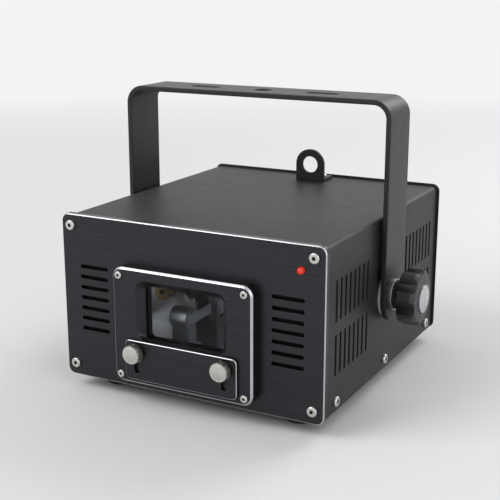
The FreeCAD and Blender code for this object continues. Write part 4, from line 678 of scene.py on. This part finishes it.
def printMarks(name, shapes, at, normal, node, finish, thick=inkPlan["thick"]):
    alone(shapes[0])
    for shape in shapes[1:]:
        shape.select_set(True)
    bpy.ops.object.join()
    piece = bpy.context.object
    piece.name = name
    bpy.ops.object.mode_set(mode="EDIT")
    bpy.ops.mesh.select_all(action="SELECT")
    bpy.ops.mesh.remove_doubles(threshold=inkPlan["merge"] * mm)
    bpy.ops.object.mode_set(mode="OBJECT")
    layer = piece.modifiers.new("layer", "SOLIDIFY")
    layer.thickness = thick * mm
    layer.offset = 1
    bpy.ops.object.modifier_apply(modifier="layer")
    lay(piece, at, normal)
    piece.data.materials.clear()
    piece.data.materials.append(finish)
    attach(piece, bodyOf[node])


def printOnRear(name, shapes, at):
    printMarks(name, shapes, at, outRear, "rear_panel", printInk)


def onRear(node):        # the point of the rear panel in line with a node
    centre = middleOf(node)
    return Vector((centre.x, rearFace, centre.z))


# Gain dial: eleven ticks with the end numbers

gainDial = {"ticks": 11, "sweep": 140, "radius": 8.3, "tick": (0.4, 1.5), "endTick": (0.5, 2.1),
            "numberRadius": 11.6, "numberSize": 2.6}


def onDial(radius, angle):
    return radius * math.sin(math.radians(angle)), radius * math.cos(math.radians(angle))


def makeGainDial(plan):
    shapes = []
    for n in range(plan["ticks"]):
        angle = -plan["sweep"] + 2 * plan["sweep"] * n / (plan["ticks"] - 1)
        size = plan["endTick"] if n in (0, plan["ticks"] - 1) else plan["tick"]
        shapes.append(flatBar(*onDial(plan["radius"], angle), *size, turn=-angle))
    for number, angle in (("0", -plan["sweep"]), ("10", plan["sweep"])):
        shapes.append(flatText(*onDial(plan["numberRadius"], angle), plan["numberSize"], number))
    printOnRear("gainDialMarks", shapes, onRear("gain_knob"))


makeGainDial(gainDial)


# Arrows over the menu buttons, signs over the lamps

menuMarks = {"lift": 7.2, "arrow": 1.35, "turns": {4: 90, 3: 180, 2: 0}, "ring": 1.1, "stroke": 0.4}


def makeMenuMarks(plan):
    start = onRear("menu_button_1")
    shapes = []
    for number, turn in plan["turns"].items():
        x = (start.x - middleOf("menu_button_%d" % number).x) / mm
        shapes.append(flatArrow(x, plan["lift"], plan["arrow"], turn))
    shapes.append(flatRing(0, plan["lift"], plan["ring"], plan["stroke"]))
    printOnRear("menuButtonMarks", shapes, start)


makeMenuMarks(menuMarks)

lampSigns = {"lift": 8.7, "size": 1.25, "stroke": 0.35, "bar": 0.4, "mark": (0.4, 1.1),
             "stop": (1.7, 2.4), "levels": (0.9, 1.9, 2.7, 1.5, 0.8), "levelPitch": 0.7}


def makeLampSigns(plan):        # power, signal and sound, read from left to right
    xs = [middleOf("menu_button_%d" % number).x for number in (3, 2, 1)]
    start = Vector((xs[0], rearFace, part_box("indicator_lamps")[0].z))
    step = (xs[0] - xs[1]) / mm
    up, wide = plan["lift"], plan["bar"]
    stopAside, stopTall = plan["stop"]
    shapes = [flatRing(0, up, plan["size"], plan["stroke"]), flatBar(0, up, *plan["mark"]),
              flatArrow(step, up, plan["size"], -90), flatBar(step + stopAside, up, wide, stopTall)]
    for n, tall in enumerate(plan["levels"]):
        aside = (n - (len(plan["levels"]) - 1) / 2) * plan["levelPitch"]
        shapes.append(flatBar(2 * step + aside, up, wide, tall))
    printOnRear("lampSigns", shapes, start)


makeLampSigns(lampSigns)


# On and off signs at the key and on the rocker, arrows over the data sockets

keySigns = {"radius": 12.6, "ring": 1.3, "stroke": 0.4, "bar": (0.5, 2.6), "corner": 0.2}


def makeKeySigns(plan):
    shapes = [flatRing(0, plan["radius"], plan["ring"], plan["stroke"]),
              flatBar(plan["radius"], 0, *plan["bar"], corner=plan["corner"])]
    printOnRear("keySigns", shapes, onRear("key_lock"))


makeKeySigns(keySigns)

rockerSigns = {"ring": 1.9, "stroke": 0.55, "bar": (0.7, 3.6), "corner": 0.3, "facing": 0.85}


def makeRockerSigns(plan):        # each in the middle of its half of the rocker's bent face
    faces = [f for f in cadNodes["power_rocker"].data.polygons if f.normal.y > plan["facing"]]
    half = middleOf("power_rocker").z
    signs = {"rockerOnSign": [f for f in faces if f.center.z > half],
             "rockerOffSign": [f for f in faces if f.center.z <= half]}
    for name, mine in signs.items():
        area = sum(f.area for f in mine)
        centre = sum((f.center * f.area for f in mine), Vector()) / area
        normal = max(mine, key=lambda f: f.area).normal.normalized()
        if name == "rockerOnSign":
            shape = flatBar(0, 0, *plan["bar"], corner=plan["corner"])
        else:
            shape = flatRing(0, 0, plan["ring"], plan["stroke"])
        printMarks(name, [shape], centre, normal, "power_rocker", printInk)


makeRockerSigns(rockerSigns)

socketArrows = {"lift": 20.0, "arrow": 1.5, "inLift": 0.2, "bar": (4.2, 0.45), "barDrop": 1.6}


def makeSocketArrows(plan):
    start = onRear("dmx_in_socket")
    step = (start.x - middleOf("dmx_out_socket").x) / mm
    up = plan["lift"]
    shapes = [flatArrow(0, up + plan["inLift"], plan["arrow"], 180),
              flatArrow(step, up, plan["arrow"], 0)]
    shapes += [flatBar(x, up - plan["barDrop"], *plan["bar"]) for x in (0, step)]
    printOnRear("socketArrows", shapes, start)


makeSocketArrows(socketArrows)


# Number display: four seven-bar digits on the lens

digitPlan = {"height": 9.4, "width": 5.2, "pitch": 9.4, "stroke": 1.05, "gap": 0.3, "point": 0.48,
             "shown": " 001", "lit": (0.90, 0.06, 0.03), "glow": 1.1,
             "litThick": 0.04, "restThick": 0.03}
barsLit = {"0": "abcdef", "1": "bc", " ": ""}
digitResting = mouldedPlastic("digitResting", low=(0.045, 0.012, 0.011), high=(0.06, 0.016, 0.014),
                              rough=(0.3, 0.4), texture=200, depth=0.01)


def digitBars(plan, offset):        # each bar ends in a point
    w, h, stroke = plan["width"], plan["height"], plan["stroke"]
    across = w - plan["gap"] * 2
    upright = h / 2 - plan["gap"] * 2
    places = {"a": (0, h / 2, 90, across), "g": (0, 0, 90, across), "d": (0, -h / 2, 90, across),
              "b": (w / 2, h / 4, 0, upright), "c": (w / 2, -h / 4, 0, upright),
              "f": (-w / 2, h / 4, 0, upright), "e": (-w / 2, -h / 4, 0, upright)}
    point = stroke * plan["point"]
    return {key: flatBar(offset + x, y, stroke, length, turn, corner=point, steps=1)
            for key, (x, y, turn, length) in places.items()}


def makeDigits(plan):
    lit, resting = [], []
    for n, sign in enumerate(plan["shown"]):
        offset = (n - (len(plan["shown"]) - 1) / 2) * plan["pitch"]
        for key, bar in digitBars(plan, offset).items():
            (lit if key in barsLit[sign] else resting).append(bar)
    at = onRear("menu_display")
    at.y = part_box("menu_display")[1].y
    glowing = lampLens("digitGlow", plan["lit"], plan["glow"])
    printMarks("digitsLit", lit, at, outRear, "menu_display", glowing, plan["litThick"])
    printMarks("digitsResting", resting, at, outRear, "menu_display", digitResting,
               plan["restThick"])


makeDigits(digitPlan)
print("marks printed")


# Turned faces on the tilt knobs and thumbscrews, and the fan's blank hub label

def pick(piece, kind, chosen):        # leaves it in edit mode with the chosen faces or edges
    alone(piece)
    bpy.ops.object.mode_set(mode="EDIT")
    bpy.ops.mesh.select_mode(type=kind)
    bpy.ops.mesh.select_all(action="DESELECT")
    bpy.ops.object.mode_set(mode="OBJECT")
    members = piece.data.polygons if kind == "FACE" else piece.data.edges
    for member in members:
        member.select = chosen(member)
    bpy.ops.object.mode_set(mode="EDIT")


discPlan = {"sides": 72, "domeReach": 0.9, "steps": 2, "angle": 30}


def makeDisc(name, node, outward, plan):        # sits on a node's outer end, its rim standing proud
    sizes = ("radius", "thick", "rim", "dome", "proud")
    radius, thick, rim, dome, proud = (plan[size] * mm for size in sizes)
    rounds = plan["rounds"]
    bpy.ops.object.select_all(action="DESELECT")
    bpy.ops.mesh.primitive_cylinder_add(vertices=discPlan["sides"], radius=radius, depth=thick,
                                        location=(0, 0, thick / 2))
    disc = bpy.context.object
    disc.name = name
    bpy.ops.object.transform_apply()
    pick(disc, "FACE", lambda face: face.normal.z > faceLean)
    bpy.ops.mesh.inset(thickness=rim)
    for ring in range(rounds):        # a domed face, flatter towards its middle
        bpy.ops.mesh.inset(thickness=discPlan["domeReach"] * (radius - rim) / rounds)
        rise = dome * (2 * (rounds - ring) - 1) / rounds ** 2
        bpy.ops.transform.translate(value=(0, 0, rise))
    bpy.ops.object.mode_set(mode="OBJECT")
    roundEdges(disc, plan["edge"], discPlan["steps"], discPlan["angle"])
    smoothFaces(disc, discPlan["angle"])
    low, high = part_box(node)
    centre = middleOf(node)
    reach = (high - low).dot(Vector(abs(c) for c in outward)) / 2
    lay(disc, centre + outward * (reach + proud - thick), outward)
    axis = "X" if outward.x else "Y"
    faced = turnedMetal(name + "Metal", plan["low"], plan["high"], centre, axis, plan["rings"])
    disc.data.materials.append(faced)
    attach(disc, bodyOf[node])


capPlan = {"radius": 10.5, "thick": 1.4, "rim": 1.0, "dome": 0.9, "proud": 0.5, "edge": 0.18,
           "rounds": 5, "rings": 0.9, "low": (0.50, 0.51, 0.53), "high": (0.58, 0.59, 0.61),
           "slot": "milled_aluminium"}
makeDisc("knobCapRight", "tilt_knob_right", Vector((1, 0, 0)), capPlan)
makeDisc("knobCapLeft", "tilt_knob_left", Vector((-1, 0, 0)), capPlan)

thumbPlan = {"radius": 5.3, "thick": 0.9, "rim": 0.7, "dome": 0.5, "proud": 0.35, "edge": 0.1,
             "rounds": 4, "rings": 0.6, "low": (0.52, 0.51, 0.48), "high": (0.60, 0.59, 0.56),
             "slot": slotOf["thumbscrew_left"]}
makeDisc("thumbFaceLeft", "thumbscrew_left", outFront, thumbPlan)
makeDisc("thumbFaceRight", "thumbscrew_right", outFront, thumbPlan)

hubPlan = {"radius": 11.5, "thick": 0.25, "rim": 0.9, "dome": 0.06, "proud": 0.23, "edge": 0.03,
           "rounds": 2, "rings": 0.9, "low": (0.30, 0.31, 0.33), "high": (0.36, 0.37, 0.39),
           "slot": "milled_aluminium"}
makeDisc("fanHubLabel", "fan_rotor", outRear, hubPlan)
print("caps and label made")


# Air filters on the inside of the front panel, behind its slots

filterPlan = {"aside": 79.25, "size": (29.0, 2.0, 57.0), "seat": 0.1, "corner": 3.0,
              "cornerSteps": 5, "edge": 0.5, "edgeSteps": 3, "angle": 40}
filterFoam = mouldedPlastic("filterFoam", low=(0.005, 0.005, 0.005), high=(0.014, 0.014, 0.014),
                            rough=(0.86, 0.96), texture=900, depth=0.4)


def fitFilter(name, block):
    block.name = name
    block.data.materials.append(filterFoam)
    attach(block, bodyOf["front_panel"])


def makeFilters(plan):
    wide, thick, tall = (size * mm for size in plan["size"])
    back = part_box("front_panel")[1].y + plan["seat"] * mm
    bpy.ops.object.select_all(action="DESELECT")
    bpy.ops.mesh.primitive_cube_add(size=1)
    block = bpy.context.object
    block.scale = (wide, thick, tall)
    block.location = (plan["aside"] * mm, back + thick / 2, middleOf("front_panel").z)
    bpy.ops.object.transform_apply()

    def runsThrough(edge):        # one of the four edges from the front to the back of the block
        first, last = (block.data.vertices[index].co for index in edge.vertices)
        return abs(first.y - last.y) > thick / 2

    pick(block, "EDGE", runsThrough)
    bpy.ops.mesh.bevel(offset=plan["corner"] * mm, segments=plan["cornerSteps"], affect="EDGES")
    bpy.ops.object.mode_set(mode="OBJECT")
    roundEdges(block, plan["edge"], plan["edgeSteps"], plan["angle"])
    smoothFaces(block, plan["angle"])
    other = block.copy()
    other.data = block.data.copy()
    other.data.transform(Matrix.Translation((-2 * plan["aside"] * mm, 0, 0)))
    bpy.context.scene.collection.objects.link(other)
    fitFilter("airFilterRight", block)
    fitFilter("airFilterLeft", other)


makeFilters(filterPlan)
print("filters fitted")


# Stage, lights and camera

stageLook = {"size": 80.0, "pale": (0.79, 0.79, 0.785), "paler": (0.83, 0.83, 0.825), "cloud": 3.0,
             "rough": 0.75, "air": (0.90, 0.90, 0.90), "fade": (0.45, 1.9)}


def seenRays(tree):        # what the camera, metal and glass see
    rays = addNode(tree, "ShaderNodeLightPath", {}).outputs
    straight = combine(tree, "MAXIMUM", rays["Is Camera Ray"], rays["Is Glossy Ray"])
    return combine(tree, "MAXIMUM", straight, rays["Is Transmission Ray"])


def makeFloor(look):        # fades into the air around it, so no horizon shows
    bpy.ops.object.select_all(action="DESELECT")
    bpy.ops.mesh.primitive_plane_add(size=look["size"])
    floor = bpy.context.object
    floor.name = "studioFloor"
    material, tree, shader = startFinish("paleFloor")
    cloud = grain(tree, look["cloud"], detail=2.0)
    setSockets(tree, shader, {"Base Color": tint(tree, cloud, look["pale"], look["paler"]),
                              "Roughness": look["rough"]})
    where = addNode(tree, "ShaderNodeTexCoord", {})
    away = addNode(tree, "ShaderNodeVectorMath", {0: where.outputs["Object"]}, operation="LENGTH")
    fade = spread(tree, away.outputs["Value"], look["fade"])
    air = addNode(tree, "ShaderNodeEmission", {"Color": (*look["air"], 1), "Strength": 1.0})
    faded = combine(tree, "MULTIPLY", fade, seenRays(tree))
    mixed = addNode(tree, "ShaderNodeMixShader", {0: faded, 1: shader.outputs["BSDF"],
                                                  2: air.outputs["Emission"]})
    setSockets(tree, tree.nodes["Material Output"], {"Surface": mixed.outputs["Shader"]})
    floor.data.materials.append(material)


lightPlan = {
    "keySoft": {"at": (-0.9, -1.1, 1.2), "power": 15, "size": 1.1},
    "fillSoft": {"at": (1.4, -0.7, 0.7), "power": 6, "size": 1.4},
    "rimSoft": {"at": (0.5, 1.2, 1.1), "power": 10, "size": 0.9},
}


def makeLights(plan, target):
    for name, light in plan.items():
        data = bpy.data.lights.new(name, "AREA")
        data.energy = light["power"]
        data.size = light["size"]
        obj = bpy.data.objects.new(name, data)
        obj.location = light["at"]
        obj.rotation_euler = (target - Vector(light["at"])).to_track_quat("-Z", "Y").to_euler()
        bpy.context.scene.collection.objects.link(obj)


worldLook = {"colour": (0.94, 0.95, 0.97), "strength": 0.5}


def makeWorld(look, stage):
    world = bpy.data.worlds.new("studioAir")
    world.use_nodes = True
    tree = world.node_tree
    light = tree.nodes["Background"]
    setSockets(tree, light, {"Color": (*look["colour"], 1), "Strength": look["strength"]})
    seen = addNode(tree, "ShaderNodeBackground", {"Color": (*stage["air"], 1), "Strength": 1.0})
    mixed = addNode(tree, "ShaderNodeMixShader", {0: seenRays(tree), 1: light.outputs["Background"],
                                                  2: seen.outputs["Background"]})
    setSockets(tree, tree.nodes["World Output"], {"Surface": mixed.outputs["Shader"]})
    bpy.context.scene.world = world


cameraPlan = {"azimuth": 28, "elevation": 15, "lens": 75, "distance": 0.83,
              "lift": -0.017, "aside": -0.010}


def makeCamera(plan, target):
    azimuth = math.radians(plan["azimuth"])
    elevation = math.radians(plan["elevation"])
    level = math.cos(elevation)
    away = Vector((math.sin(azimuth) * level, -math.cos(azimuth) * level, math.sin(elevation)))
    right = Vector((math.cos(azimuth), math.sin(azimuth), 0))
    data = bpy.data.cameras.new("studioCamera")
    data.lens = plan["lens"]
    camera = bpy.data.objects.new("studioCamera", data)
    camera.location = (target + away * plan["distance"] + right * plan["aside"]
                       + Vector((0, 0, plan["lift"])))
    camera.rotation_euler = (-away).to_track_quat("-Z", "Y").to_euler()
    bpy.context.scene.collection.objects.link(camera)
    bpy.context.scene.camera = camera


middle = (Vector(cadBox[0]) + Vector(cadBox[1])) / 2
makeFloor(stageLook)
makeLights(lightPlan, middle)
makeWorld(worldLook, stageLook)
makeCamera(cameraPlan, middle)
bpy.context.scene.view_settings.view_transform = "Standard"
print("stage set")
